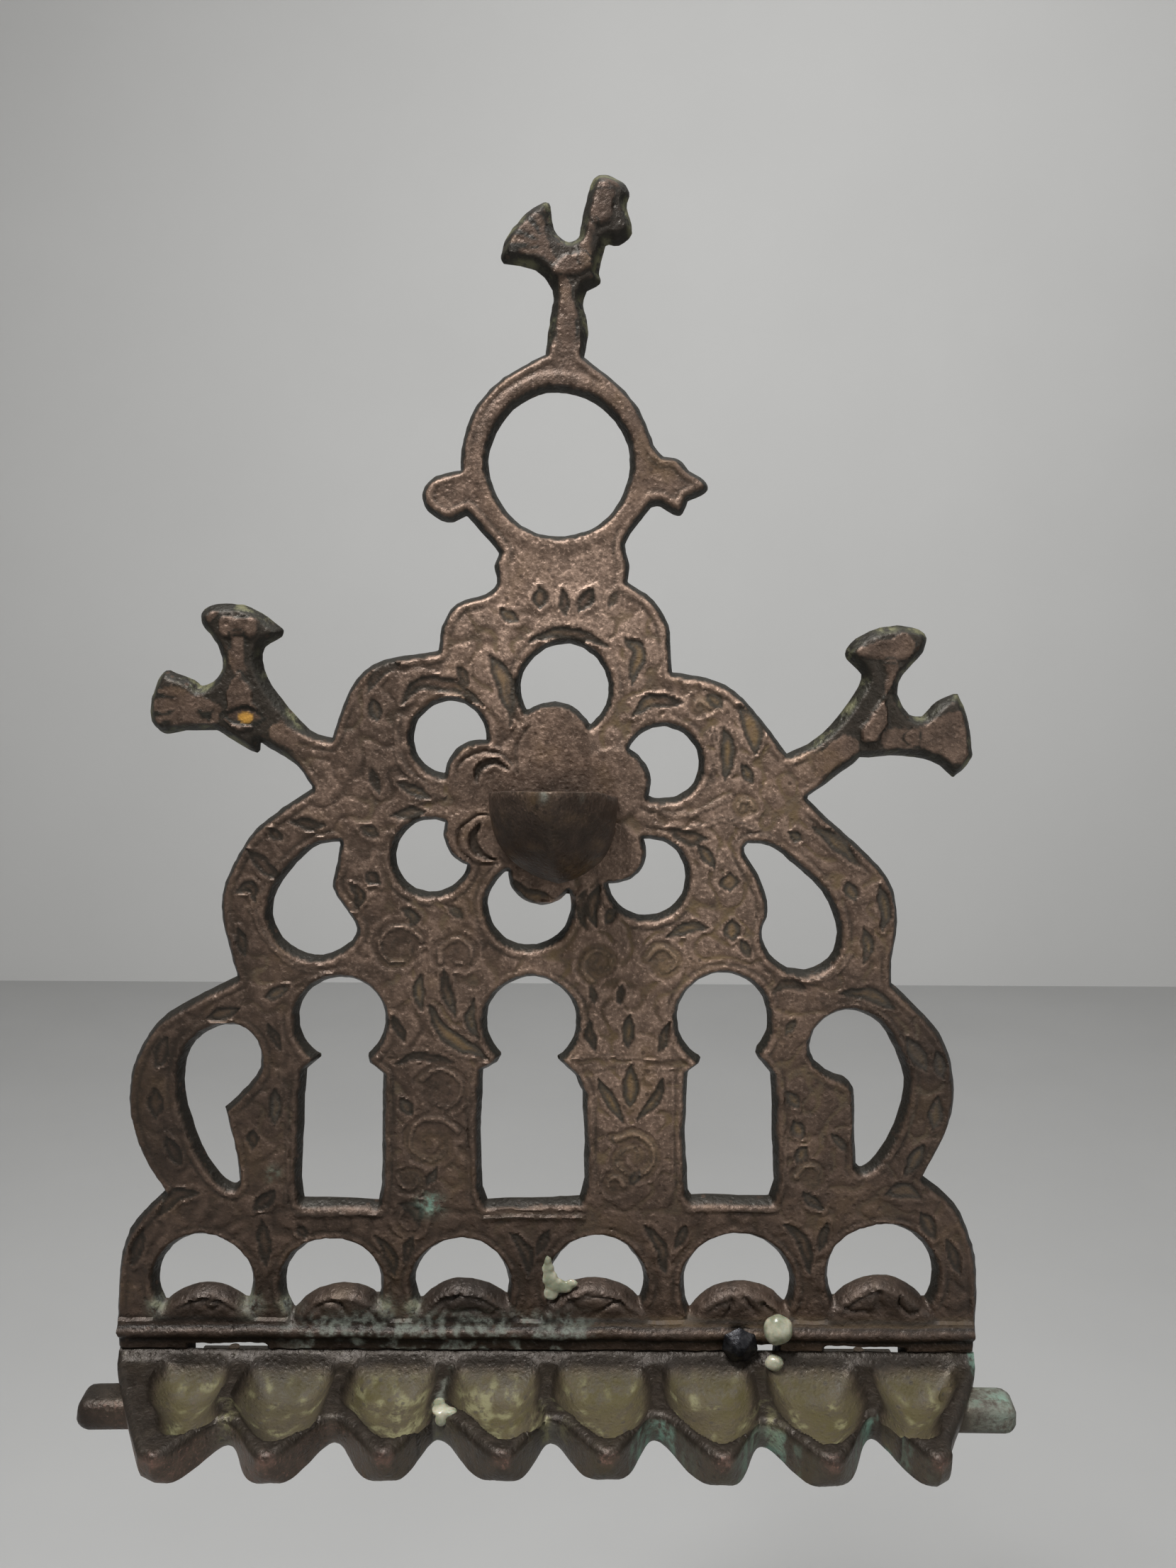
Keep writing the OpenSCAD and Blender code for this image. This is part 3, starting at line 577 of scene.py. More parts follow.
def thin_out(piece, limit):
    """Collapses edges until the piece has no more triangles than the limit."""
    count = triangles_of(piece)
    if count > limit:
        thin = piece.modifiers.new("thin", "DECIMATE")
        thin.ratio = limit / count
        bpy.context.view_layer.update()
        bake_modifiers(piece)
    print(piece.name, "triangles", count, "->", triangles_of(piece))


def points_of(piece):
    """The piece's points as an array with three columns."""
    co = np.empty(len(piece.data.vertices) * 3)
    piece.data.vertices.foreach_get("co", co)
    return co.reshape(-1, 3)


def hand_made(piece, amount):
    """Moves points a little in x and z, so that straight lines and circles look cut by hand."""
    co = points_of(piece)
    for i, c in enumerate(co):
        flat = Vector((c[0], 0, c[2]))
        for k in (0, 2):
            shift = Vector((0, 40.0 + k, 0))
            wave, ripple = noise.noise(flat * 110 + shift), noise.noise(flat * 560 + shift)
            co[i, k] += (amount * wave + 0.55 * amount * ripple) * MM
    piece.data.vertices.foreach_set("co", co.ravel())


def shaken(co, per_metre, amount, seed=1):
    """A point moved by smooth noise, by up to the given amount in mm each way."""
    shift = Vector([noise.noise(co * per_metre + Vector((0, 0, seed * i))) for i in range(3)])
    return co + shift * amount * MM


def paint(piece, **layers):
    """Stores one number per point for each named finish layer."""
    for name, values in layers.items():
        layer = piece.data.attributes.new(name, "FLOAT", "POINT")
        layer.data.foreach_set("value", np.asarray(values, np.float32))


def finish_piece(piece, material, slot, *replaced, sharp=48):
    piece.data.materials.clear()
    piece.data.materials.append(material)
    piece.data.polygons.foreach_set("use_smooth", [True] * len(piece.data.polygons))
    piece.data.set_sharp_from_angle(angle=math.radians(sharp))
    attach(piece, "root")
    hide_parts(*replaced)
    print(piece.name, "stands for", replaced, "with", len(piece.data.polygons), "faces")

# %% [markdown]
# ## Finishes
# Old bronze isn't one colour. Each casting stores how much earth lies in its pockets, the painted shade on
# its sloped edges and pocket walls, where it is worn and where it gets a painted highlight, where it is sooty
# and where it gets painted shade, and where it is filmed over with old wax or gone green. One function turns
# these layers and some object-space noise into colour, roughness and fine bump, with tints for each casting.

# %% Node helpers


class Finish:
    """A material under construction, with short words for the nodes that this lamp needs."""

    def __init__(self, name):
        self.material = bpy.data.materials.new(name)
        self.material.use_nodes = True
        self.tree = self.material.node_tree
        self.shader = self.tree.nodes["Principled BSDF"]
        self.place = self.tree.nodes.new("ShaderNodeTexCoord").outputs["Object"]

    def put(self, value, socket):
        if isinstance(value, bpy.types.NodeSocket):
            self.tree.links.new(value, socket)
        elif isinstance(value, tuple):
            socket.default_value = (*value, 1)
        else:
            socket.default_value = value

    def layer(self, name):
        node = self.tree.nodes.new("ShaderNodeAttribute")
        node.attribute_name = name
        return node.outputs["Fac"]

    def noise(self, size_mm, detail=3.0, rough=0.55):
        node = self.tree.nodes.new("ShaderNodeTexNoise")
        node.inputs["Scale"].default_value = 1000 / size_mm
        node.inputs["Detail"].default_value = detail
        node.inputs["Roughness"].default_value = rough
        self.tree.links.new(self.place, node.inputs["Vector"])
        return node.outputs["Fac"]

    def cells(self, size_mm):
        node = self.tree.nodes.new("ShaderNodeTexVoronoi")
        node.inputs["Scale"].default_value = 1000 / size_mm
        self.tree.links.new(self.place, node.inputs["Vector"])
        return node.outputs["Distance"]

    def step(self, value, low, high, top=1.0, bottom=0.0):
        node = self.tree.nodes.new("ShaderNodeMapRange")
        node.interpolation_type = "SMOOTHSTEP"
        for socket, number in zip(("From Min", "From Max", "To Min", "To Max"), (low, high, bottom, top)):
            node.inputs[socket].default_value = number
        self.put(value, node.inputs["Value"])
        return node.outputs["Result"]

    def sum(self, a, b, kind="ADD"):
        node = self.tree.nodes.new("ShaderNodeMath")
        node.operation = kind
        self.put(a, node.inputs[0])
        self.put(b, node.inputs[1])
        return node.outputs[0]

    def mix(self, a, b, factor):
        node = self.tree.nodes.new("ShaderNodeMix")
        node.data_type = "RGBA"
        self.put(factor, node.inputs["Factor"])
        self.put(a, node.inputs["A"])
        self.put(b, node.inputs["B"])
        return node.outputs["Result"]

    def bump(self, height, distance_mm, below=None):
        node = self.tree.nodes.new("ShaderNodeBump")
        node.inputs["Distance"].default_value = distance_mm * MM
        self.put(height, node.inputs["Height"])
        if below is not None:
            self.tree.links.new(below, node.inputs["Normal"])
        return node.outputs["Normal"]

    def set(self, **values):
        for name, value in values.items():
            self.put(value, self.shader.inputs[name.replace("_", " ")])
        return self.material


# %% Aged bronze


# The first colour darkens for soot and for painted shade alike; the second is painted shade on sloped edges
# and pocket walls.
SOOT_AND_SHADE, EDGE_SHADE, FILM = (0.016, 0.012, 0.009), (0.020, 0.018, 0.013), (0.13, 0.145, 0.12)
VERDIGRIS, MOSS, OCHRE = (0.13, 0.24, 0.185), (0.165, 0.155, 0.08), (0.55, 0.29, 0.055)


def aged_bronze(name, deep, middle, worn, earth=(0.19, 0.115, 0.035)):
    """Mottled bronze under the painted layers, with tints for its hollows, its skin, and bare metal that also
    serves for painted highlights.
    """
    f = Finish(name)
    cloudy, mottled, fine = f.noise(14, 4, 0.6), f.noise(2.6, 5, 0.65), f.noise(0.7, 3, 0.6)
    speckled = f.sum(mottled, fine)

    def over(color, tint, layer, strength=1.0):
        return f.mix(color, tint, f.sum(f.layer(layer), strength, "MULTIPLY"))

    skin = f.mix(middle, earth, f.step(cloudy, 0.5, 0.75, 0.5))
    color = f.mix(deep, skin, f.step(f.sum(mottled, cloudy), 0.72, 1.2))
    # This layer lightens the colour both where the metal is rubbed bare and where a highlight is painted.
    color = over(color, worn, "worn", f.step(speckled, 0.85, 1.25, 1.0, 0.35))
    color = over(color, tuple(1.35 * c for c in worn), "worn", f.step(fine, 0.58, 0.68))
    color = over(color, earth, "earth", f.step(mottled, 0.3, 0.6, 1.0, 0.35))
    # Painted shade on sloped edges and on the walls of pockets.
    color = over(color, EDGE_SHADE, "edge")
    # Soot, and painted shade, darken the colour here.
    color = over(color, SOOT_AND_SHADE, "soot")
    color = over(color, FILM, "film", f.step(speckled, 0.7, 1.15))
    color = over(color, VERDIGRIS, "verdigris", f.step(mottled, 0.4, 0.6))
    color = over(color, MOSS, "moss", f.step(mottled, 0.4, 0.6))
    color = over(color, OCHRE, "ochre")
    dark_pits = f.sum(f.step(f.cells(2.4), 0.26, 0.14), f.step(cloudy, 0.4, 0.6, 0.75), "MULTIPLY")
    color = f.mix(color, deep, dark_pits)
    dull = f.sum(f.sum(f.layer("earth"), f.layer("film")), f.layer("verdigris"))
    roughness = f.sum(f.step(speckled, 0.7, 1.3, 0.58, 0.4), f.step(dull, 0, 1, 0.3))
    pits = f.step(f.cells(1.5), 0.12, 0.4)
    normal = f.bump(f.sum(speckled, f.sum(pits, 0.5, "MULTIPLY")), 0.16)
    metal = f.step(dull, 0, 0.8, 0.0, 0.55)
    return f.set(Base_Color=color, Roughness=roughness, Metallic=metal, Normal=normal)


plate_finish = aged_bronze("bronze_plate", (0.060, 0.038, 0.026), (0.140, 0.089, 0.063),
                           (0.330, 0.230, 0.172), earth=(0.125, 0.076, 0.024))
tray_finish = aged_bronze("bronze_tray", (0.038, 0.031, 0.022), (0.074, 0.060, 0.042),
                          (0.200, 0.115, 0.088), earth=(0.052, 0.042, 0.010))
cup_finish = aged_bronze("bronze_cup", (0.028, 0.019, 0.013), (0.052, 0.036, 0.026), (0.12, 0.08, 0.058))
print("bronze finishes made")

# %% [markdown]
# ## The back plate
# The blank follows the measured outline at half-millimetre cells, small enough for the narrowest lines of
# the pattern. The front is then moved out to the face computed above.

# %% Cast the back plate
PITCH = 0.5 * MM
BACK = -0.1 * MM  # the sheet that is searched lies this far in front of the plate's back


def is_side_wall(f):
    return abs(f.normal.y) < 0.2 and max(v.co.y for v in f.verts) > BACK


def edge_width_at(co):
    x, z = drawing_xz(np.array([co]))
    return float(edge_width(x, z)[0]) * MM


plate_outline = Outline(nodes["back_plate"].data, 1, BACK, is_side_wall)
bm = cut_blank(plate_outline, *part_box("back_plate"), PITCH)
draw_crest(bm, plate_outline, PITCH, edge_width_at)
cast = bmesh.ops.extrude_face_region(bm, geom=bm.faces[:])["geom"]
front = [g for g in cast if isinstance(g, bmesh.types.BMVert)]
x, z = drawing_xz(np.array([v.co for v in front]))
depth = np.array([(plate_outline.nearest(v.co) - v.co).length / MM for v in front])
for v, height in zip(front, plate_face(x, z, depth)[0]):
    v.co.y = -height * MM
is_front = set(front)
for v in bm.verts:
    if v not in is_front:
        v.co.y = -0.08 * MM * (1 + noise.noise(v.co * 90))
bmesh.ops.recalc_face_normals(bm, faces=bm.faces)
plate = to_object(bm, "back_plate_casting")
thin_out(plate, 190000)

# %% [markdown]
# ## Wear, soot, wax, painted shade and painted highlights on the back plate
# The plate is lighter around the top lobe and on its right, and darker at its sides and foot. Tones placed on
# the drawing say how light the metal is, and each finish layer is worked out from them, from the pattern and
# from the height above the foot. Sloped edges, pocket walls, the creases of the moulding and the place behind
# the cup get painted shade; raised rims and the petal under the cup get painted highlights.

# %% Light and dark places of the back plate
TONE_REACH = 11
TONES = [
    # x, z and how light the metal is there, from dark 0 to light 1
    (3, 184, 0.9), (-15, 172, 0.72), (20, 170, 0.85), (3, 230, 0.4), (9, 252, 0.26), (-5, 247, 0.26),
    (1.8, 222, 0.42), (20, 200, 0.45), (-22, 196, 0.5), (-36, 152, 0.36), (-30, 135, 0.45),
    (35, 150, 0.75), (45, 138, 0.72), (35, 120, 0.72), (0, 147, 0.62), (14, 138, 0.5), (14, 123, 0.6),
    (-15, 138, 0.5), (-52, 140, 0.5), (-65, 155, 0.42), (-78, 153, 0.35), (55, 141, 0.32), (68, 150, 0.5),
    (82, 148, 0.45), (70, 167, 0.4), (-62, 118, 0.28), (-36, 112, 0.42), (-30, 100, 0.45), (14, 100, 0.6),
    (20, 85, 0.62), (18, 60, 0.5), (-25, 60, 0.35), (-25, 45, 0.3), (66, 112, 0.42), (60, 96, 0.45),
    (80, 78, 0.1), (56, 60, 0.35), (-84, 70, 0.1), (-60, 60, 0.28), (-75, 88, 0.28), (78, 50, 0.25),
    (45, 44, 0.3), (20, 40, 0.28), (-10, 35, 0.15), (-35, 35, 0.22), (-62, 35, 0.28), (-88, 30, 0.2),
    (56, 32, 0.3), (88, 30, 0.22), (-70, 19, 0.22), (-30, 19, 0.15), (30, 19, 0.36), (75, 19, 0.34),
    (0, 11, 0.2), (-80, 11, 0.25), (80, 11, 0.3), (20, 85, 0.75), (28, 78, 0.6),
]
FLECKS = [(-86.2, 22.6, 3), (-64.6, 23.2, 5), (-57.4, 22.8, 3), (-35.4, 23, 3), (-30, 22.5, 3)]
AMBER_SPOT = (-63.1, 151.5)
TARNISH = [((-25.7, 46.3), 5, 1.0), ((-60, 53), 3, 0.3)]


def spot(x, z, at, spread):
    """1 at a place on the drawing, fading to 0 around it."""
    return np.exp(-((x - at[0]) ** 2 + (z - at[1]) ** 2) / spread)


def tone_at(x, z):
    weight = [spot(x, z, (a, b), 2 * TONE_REACH**2) + 1e-5 for a, b, _ in TONES]
    return sum(w * t for w, (_, _, t) in zip(weight, TONES)) / sum(weight)


def lamp_soot(x, z):
    """Soot of the servant light above the cup, and painted shade, fainter, behind it."""
    return bell(x, 1, 15) * (bell(z, 137.5, 4.5) + 0.6 * bell(z, 127, 8))


def foot_shadow(z):
    """The three dark lines along the moulding."""
    return bell(z, 15.5, 0.4) + 0.5 * bell(z, 18.6, 0.25) + 0.4 * bell(z, 20.3, 0.4)


# %% Finish layers of the back plate
co = points_of(plate)
x, z = drawing_xz(co)
is_front = co[:, 1] < -0.3 * MM
depth = np.array([math.hypot(*(plate_outline.nearest(Vector(c)) - Vector(c)).xz) / MM for c in co])
_, sheet, slope = plate_face(x, z, depth)
cloud, patch, crust = noise_at(x, z, 11, 5.0), noise_at(x, z, 4, 9.0), noise_at(x, z, 1.6, 12.0)
tone = tone_at(x, z) + 0.09 * cloud
mound = smooth(13.2, 12.6, mound_distance(x, z)) * smooth(19, 20, z) * smooth(30.5, 29.6, z)
# A painted highlight on the lower petal, just under the cup.
petal_highlight = bell(x, 1.2, 4.6) * bell(z, 113.2, 0.8)
flecks = np.max([spot(x, z, (a, b), r) for a, b, r in FLECKS], axis=0)
grass = bird_zone(x, z) * smooth(0.9, 0.4, slope) * smooth(-0.2, 0.3, patch)

# Lighter where the tone is high; raised parts lighter, for wear and as a painted highlight; a painted
# highlight on the petal under the cup; less in pockets and on their walls.
plate_wear_and_highlight = smooth(0.15, 1.0, tone) * (0.35 + 0.6 * tone) + 1.1 * sheet.raised * (0.25 + tone)
plate_wear_and_highlight = plate_wear_and_highlight * (1 - 0.9 * np.clip(sheet.earth + sheet.wall, 0, 1)) + 1.5 * petal_highlight
fillet_earth = 0.8 * smooth(18.4, 19, z) * smooth(21.5, 20, z) * smooth(-5, 10, x)
filled = sheet.earth * smooth(15, 70, z) * smooth(-0.5, 0.3, noise_at(x, z, 12, 4.4) + x / 120)
# Darker where the tone is low, and with soot above the cup; darker along the moulding and on the mounds;
# painted shade in the creases of the moulding and behind the cup.
soot = np.clip(0.85 - 1.5 * tone, 0, 0.7) * (0.85 + 0.15 * smooth(17, 24, z)) + 0.55 * lamp_soot(x, z)
soot = soot + 0.3 * smooth(20.5, 19.5, z) * smooth(12, 13, z) + 0.7 * foot_shadow(z) + 0.25 * mound
# Painted shade on the sloped edge and on the walls of pockets and strokes, taken off the petal that has a
# painted highlight.
painted_edge_shade = smooth(1.0, 0.78, slope) * (1 - mound) + 0.85 * sheet.wall - petal_highlight
wax_film = smooth(-62, -50, x) * smooth(12, 6, x) * smooth(24, 19.5, z) * smooth(9, 11, z)
wax_film *= np.where(z > 17, smooth(-0.35, 0.3, crust + 0.5 * patch) * 0.75,
                     smooth(0.1, 0.45, patch + 0.4 * crust))
green = sum(strength * spot(x, z, at, spread) for at, spread, strength in TARNISH) + 0.08 * grass
bead = smooth(1.35, 0.9, np.hypot((x - AMBER_SPOT[0]) / 1.35, z - AMBER_SPOT[1]))


def on_front(values, elsewhere=0.0):
    return np.where(is_front, values, elsewhere)


paint(plate, worn=on_front(np.clip(plate_wear_and_highlight, 0, 1), 0.15), earth=on_front(fillet_earth + filled, 0.15),
      edge=on_front(np.clip(painted_edge_shade, 0, 1), 0.75), soot=on_front(soot, 0.3),
      film=on_front(np.maximum(wax_film, flecks)), moss=0.75 * grass + 0.5 * flecks,
      ochre=on_front(0.9 * bead), verdigris=on_front(green, 0.05))
hand_made(plate, 0.32)
finish_piece(plate, plate_finish, "plate_bronze", "back_plate")

# %% [markdown]
# ## The oil tray
# From above the tray is a straight back edge and a wave in front, one point for each pan. A blank is cut to
# that plan, and its points are lowered inside every pan to make a smooth dished bowl. The side walls are
# the blank's own rim, drawn down in a few steps that lean inwards, as the hull of a boat does.

# %% Plan of the tray
RIM_Z, PAN_DEPTH = 11.0, 6.4
LIPS = [(-75.8, 32.2), (-53.7, 32.2), (-30.7, 31.2), (-7.6, 31.2), (12.9, 30.6), (35.3, 32), (56.4, 32.2),
        (77, 32)]
NOTCHES = [(-65, 21), (-43.5, 20), (-22.4, 19), (1, 20), (22.3, 18.8), (44.2, 20.5), (67.5, 18)]
WAVE = sorted(LIPS + NOTCHES)
DIVIDERS = [-91, -67, -44.3, -22.4, 0, 23.3, 45.6, 68.3, 90.4]


def swell(a, b, steps=10):
    """Half a wave from a to b, level at both ends."""
    return [(a[0] + (b[0] - a[0]) * k / steps, b[1] + (a[1] - b[1]) * (1 + math.cos(math.pi * k / steps)) / 2)
            for k in range(steps)]


def tray_plan():
    wave = [LIPS[0]]
    for a, b in zip(WAVE, WAVE[1:]):
        wave += swell(a, b)[1:] + [b]
    left = smooth_path([(-94.3, 0), (-93.5, 3.5), (-87.1, 16), (-81.7, 25.8), (-79, 30.4)], 4)
    right = smooth_path([(93.4, 0), (92.6, 3.5), (86.2, 16), (80.8, 25.8), (79.6, 30.2)], 4)
    return [tuple(p) for p in left] + wave + [tuple(p) for p in right[::-1]]


def pan_plan(i):
    """Plan of one pan: straight at the back, rounded at the sides, drawn out to a lip in front."""
    first, last = i == 0, i == 7
    l, r, (tip, reach) = DIVIDERS[i] + 1.3, DIVIDERS[i + 1] - 1.3, LIPS[i]

    def within(x, d):
        """x kept inside the slanted ends of the tray, at the distance d in front of the plate."""
        end = 94.5 - 0.54 * d
        low_end = -end + (4.2 + 6 * math.exp(-((d / 6) ** 2)) if first else 0)
        return min(max(x, low_end), end - (2.8 if last else 0))

    near = reach - 32 - 1.6 * (first or last)
    tip += 2.2 * first - 1.6 * last
    sides = [(1, 2.6), (0, 7), (0.2, 14)]
    knots = [(within(l + 5, 1.3), 1.3), (within(r - 5, 1.3), 1.3)]
    knots += [(within(r - inset, d), d) for inset, d in sides]
    knots += [(within(tip + 7.6, 20.4), 20.4 + near), (tip + 3.8, 25.4 + near), (tip, 27.8 + near),
              (tip - 3.8, 25.4 + near), (within(tip - 7.6, 20.4), 20.4 + near)]
    knots += [(within(l + inset, d), d) for inset, d in sides[::-1]]
    path = smooth_path(knots + knots[:3], 5)
    return [tuple(p) for p in path[5:-5]]


def plan_outline(points):
    """The plan as a thin upright wall in the model, with its search trees."""
    mesh = bpy.data.meshes.new("plan")
    bm = bmesh.new()
    face = bm.faces.new([bm.verts.new(place(x, RIM_Z + 2, d)) for x, d in points])
    top = bmesh.ops.extrude_face_region(bm, geom=[face])["geom"]
    bmesh.ops.translate(bm, verts=[g for g in top if isinstance(g, bmesh.types.BMVert)], vec=(0, 0, -14 * MM))
    bmesh.ops.recalc_face_normals(bm, faces=bm.faces)
    bm.to_mesh(mesh)
    bm.free()
    level = place(0, RIM_Z).z
    return Outline(mesh, 2, level, lambda f: abs(f.normal.z) < 0.2)


tray_outline = plan_outline(tray_plan())
pans = [plan_outline(pan_plan(i)) for i in range(8)]
print("plan of the tray:", len(tray_plan()), "points")

# %% Cast the tray


WALL_RUN = 6.5  # width of a pan's curved wall, from its rim to its floor


def pan_depth_at(co):
    """Depth below the rim, in millimetres, of a point seen from above, and how far inside its pan it is."""
    x = co.x / MM + RING[0]
    i = min(range(8), key=lambda k: abs((DIVIDERS[k] + DIVIDERS[k + 1]) / 2 - x))
    for k in {max(i - 1, 0), i, min(i + 1, 7)}:
        if pans[k].inside(co):
            inward = (pans[k].nearest(co) - co).length / MM
            return PAN_DEPTH * (1 - (1 - min(inward / WALL_RUN, 1)) ** 2.1), inward
    return 0.0, 0.0


BULGE = 3.0  # how much rounder the wave is at its foot than at the rim


def lean_in(co, step):
    """Moves a point of the rim inwards by step mm: the wave backwards, the ends towards the middle."""
    x, front = co.x / MM + RING[0], -co.y / MM - PLATE_T
    if front < 0.3:
        return place(x - math.copysign(step, x) * (abs(x) > 90), co.z / MM + RING[1], front)
    frontal = min(max((front - 20) / 9, 0), 1) if abs(x) > 78.5 else 1
    # lower down the points of the wave grow rounder and wider
    swing = next(((a, b) for a, b in zip(WAVE, WAVE[1:]) if a[0] <= x <= b[0]), None)
    if swing:
        along = (x - swing[0][0]) / (swing[1][0] - swing[0][0])
        front += BULGE * min(step / 2.6, 1) * math.sin(math.pi * along) ** 2
    inward = math.copysign(step, x) * (1 - frontal)
    return place(x - inward, co.z / MM + RING[1], max(front - step * frontal, 0.2))


def lower_into_pans(bm):
    """Sinks the flat blank into the pans, rounds its rim and raises it a little along the plate."""
    for v in bm.verts:
        edge = (tray_outline.nearest(v.co) - v.co).length / MM
        back = v.co.y > -(PLATE_T + 0.8) * MM
        sink, inward = pan_depth_at(v.co)
        lump = noise.noise(v.co * 260) * 0.28 + noise.noise(v.co * 700) * 0.12
        rounding = 0.9 * (1 - min(edge / 1.3, 1)) ** 2 * (not back)
        crest = -0.35 * math.exp(-((inward - 0.2) / 1.2) ** 2) if inward else 0.0
        rise = 1.9 * math.exp(-((-v.co.y / MM - PLATE_T) / 1.5) ** 2)
        v.co.z = (RIM_Z + rise - sink - rounding + crest + lump * (0.5 if sink > 1 else 1) - RING[1]) * MM
    bowls = [v for v in bm.verts if pan_depth_at(v.co)[0] > 0.8]
    for _ in range(26):
        bmesh.ops.smooth_vert(bm, verts=bowls, factor=0.5, use_axis_z=True)


def draw_down(bm):
    """Extrudes the rim down in steps: how far each leans in, and its height on the drawing."""
    homes = {v: v.co.copy() for v in bm.verts if v.is_boundary}
    for step, level in [(0.05, 8.9), (0.25, 7.2), (0.7, 5.6), (1.5, 4.2), (2.6, 3.2), (4.0, 2.7)]:
        rim = [e for e in bm.edges if e.is_boundary]
        made = bmesh.ops.extrude_edge_only(bm, edges=rim)["geom"]
        ring = [g for g in made if isinstance(g, bmesh.types.BMVert)]
        fresh = set(ring)
        for v in ring:
            above = next(e.other_vert(v) for e in v.link_edges if e.other_vert(v) not in fresh)
            homes[v] = homes[above]
            v.co = lean_in(homes[v], step)
            v.co.z = (level - RING[1] + 0.2 * noise.noise(v.co * 300)) * MM


TRAY_PITCH = 0.5 * MM
bm = cut_blank(tray_outline, place(-95, 0, 33), place(94, 0, 0), TRAY_PITCH)
draw_crest(bm, tray_outline, TRAY_PITCH, lambda co: 1.1 * MM)
lower_into_pans(bm)
draw_down(bm)
underside = bmesh.ops.contextual_create(bm, geom=[e for e in bm.edges if e.is_boundary])["faces"]
bmesh.ops.triangulate(bm, faces=underside, ngon_method="EAR_CLIP")
bmesh.ops.recalc_face_normals(bm, faces=bm.faces)
print("tray open edges:", sum(not e.is_manifold for e in bm.edges))

# %% [markdown]
# ## Lugs and tenons
# A stub lug stands out at each end of the tray, and two tenons behind it go through slots in the
# plate, where pins hold them. All are blocks with rounded edges, cast in one with the tray.

# %% Lugs and tenons of the tray


def add_block(bm, low, high, rounding, wobble=0.0):
    """A cast block with rounded edges, from one corner of the drawing to the other."""
    made = bmesh.ops.create_cube(bm, size=1)["verts"]
    a, b = place(*low), place(*high)
    bmesh.ops.transform(bm, verts=made, matrix=Matrix.Translation((a + b) / 2)
                        @ Matrix.Diagonal((*(abs(v) for v in b - a), 1)))
    edges = list({e for v in made for e in v.link_edges})
    made = bmesh.ops.bevel(bm, geom=edges, offset=rounding * MM, segments=4, profile=0.5,
                           affect="EDGES", material=-1)
    for v in made["verts"]:
        v.co = shaken(v.co, 400, wobble, 7)


for side, reach in ((-1, -99), (1, 99)):
    add_block(bm, (reach, 1.8, 4.6), (side * 84, 8.8, 13.2), 2.4, 0.4)
for x0, x1 in ((-78.4, -62.6), (61.2, 77.2)):
    add_block(bm, (x0, 5, 1), (x1, 8.8, -PLATE_T - 5), 0.5, 0.06)
tray = to_object(bm, "oil_tray_casting")
thin_out(tray, 180000)

# %% [markdown]
# ## Soot, painted shade, painted highlights, oil and verdigris on the tray
# The pans are coated with old oil, their rims are sooty, the back rim along the plate gets painted shade,
# the tips of the lips get a painted highlight, and verdigris has grown in the notches at the right.

# %% Finish layers of the tray
co = points_of(tray)
x, z = drawing_xz(co)
front = -co[:, 1] / MM - PLATE_T
sunk = np.array([pan_depth_at(Vector(c))[0] for c in co]) * (z > RIM_Z - PAN_DEPTH - 0.5)
is_top = (z > 9.2) | (sunk > 0.3)
cloud, patch = noise_at(x, front, 9, 2.0), noise_at(x, front, 3, 6.0)
# A painted highlight on the tip of each lip.
lip_highlight = np.max([bell(x, a, 2.0) * bell(front, b - 0.4, 0.9) for a, b in LIPS], axis=0)
wave_wall = (z < 9.6) & (front > 12) & ~(sunk > 0.3)
waxed = np.max([bell(x, a, 3.0) for a in (-65, -22.4, 1, 44.2)], axis=0)  # notches with old wax in them
green = np.max([bell(x, a, 5.0) for a in (22.3, 44.2, 67.5)], axis=0)     # notches gone green
trail = bell(x, -22.4, 1.3) * smooth(2, 4, front) * smooth(19, 15, front)
# Soot on the rims, and painted shade on the back rim along the plate; darker on the left pans and the left
# end.
tray_soot_and_shade = np.where(is_top, 0.72 * smooth(1.8, 0.4, sunk) - 0.15 * patch, 0.15)
tray_soot_and_shade = tray_soot_and_shade + 0.55 * smooth(3, 1, front) * (z > 9) + 0.3 * bell(x, -60, 14) * (sunk > 0.3) + 0.7 * (x < -93)
old_oil = smooth(2, 4.5, sunk) * smooth(0.15, 0.5, patch + 0.45 * bell(x, -22, 18)) * 0.75
crusted = 0.8 * waxed * (front > 14) * (z > 5) * smooth(-0.3, 0.3, patch)
film = 0.7 * trail * smooth(-0.2, 0.2, patch) + 0.3 * wave_wall * waxed + 0.85 * (x > 93.2)
paint(tray,
      # the lips' painted highlight, wave walls lighter towards the left, and a little everywhere
      worn=np.clip(lip_highlight * (z > 8.5) + 0.35 * wave_wall * smooth(-20, -60, x) + 0.1, 0, 1),
      earth=np.clip(smooth(1.0, 4.0, sunk) * (0.75 + 0.35 * cloud), 0, 1), edge=np.zeros_like(x),
      soot=np.clip(tray_soot_and_shade, 0, 0.85), film=np.clip(film, 0, 1), moss=np.clip(old_oil + crusted, 0, 1),
      verdigris=np.clip((wave_wall * green + 0.6 * (x > 92)) * smooth(-0.35, 0.2, patch), 0, 1))
finish_piece(tray, tray_finish, "tray_bronze", "oil_tray", sharp=60)

# %% [markdown]
# ## The servant cup
# The ninth light burns in a small pointed cup. Its plan is a rounded shield, flat against the plate. One
# ring of points is drawn in and lowered step by step for the hull, and a second, inner skin is let down
# from the rim, so that the cup has a real wall.

# %% Cast the servant cup
CUP_X, CUP_RIM_Z, CUP_HALF, CUP_REACH, CUP_H = 0.8, 136.0, 13.3, 27.0, 18.6


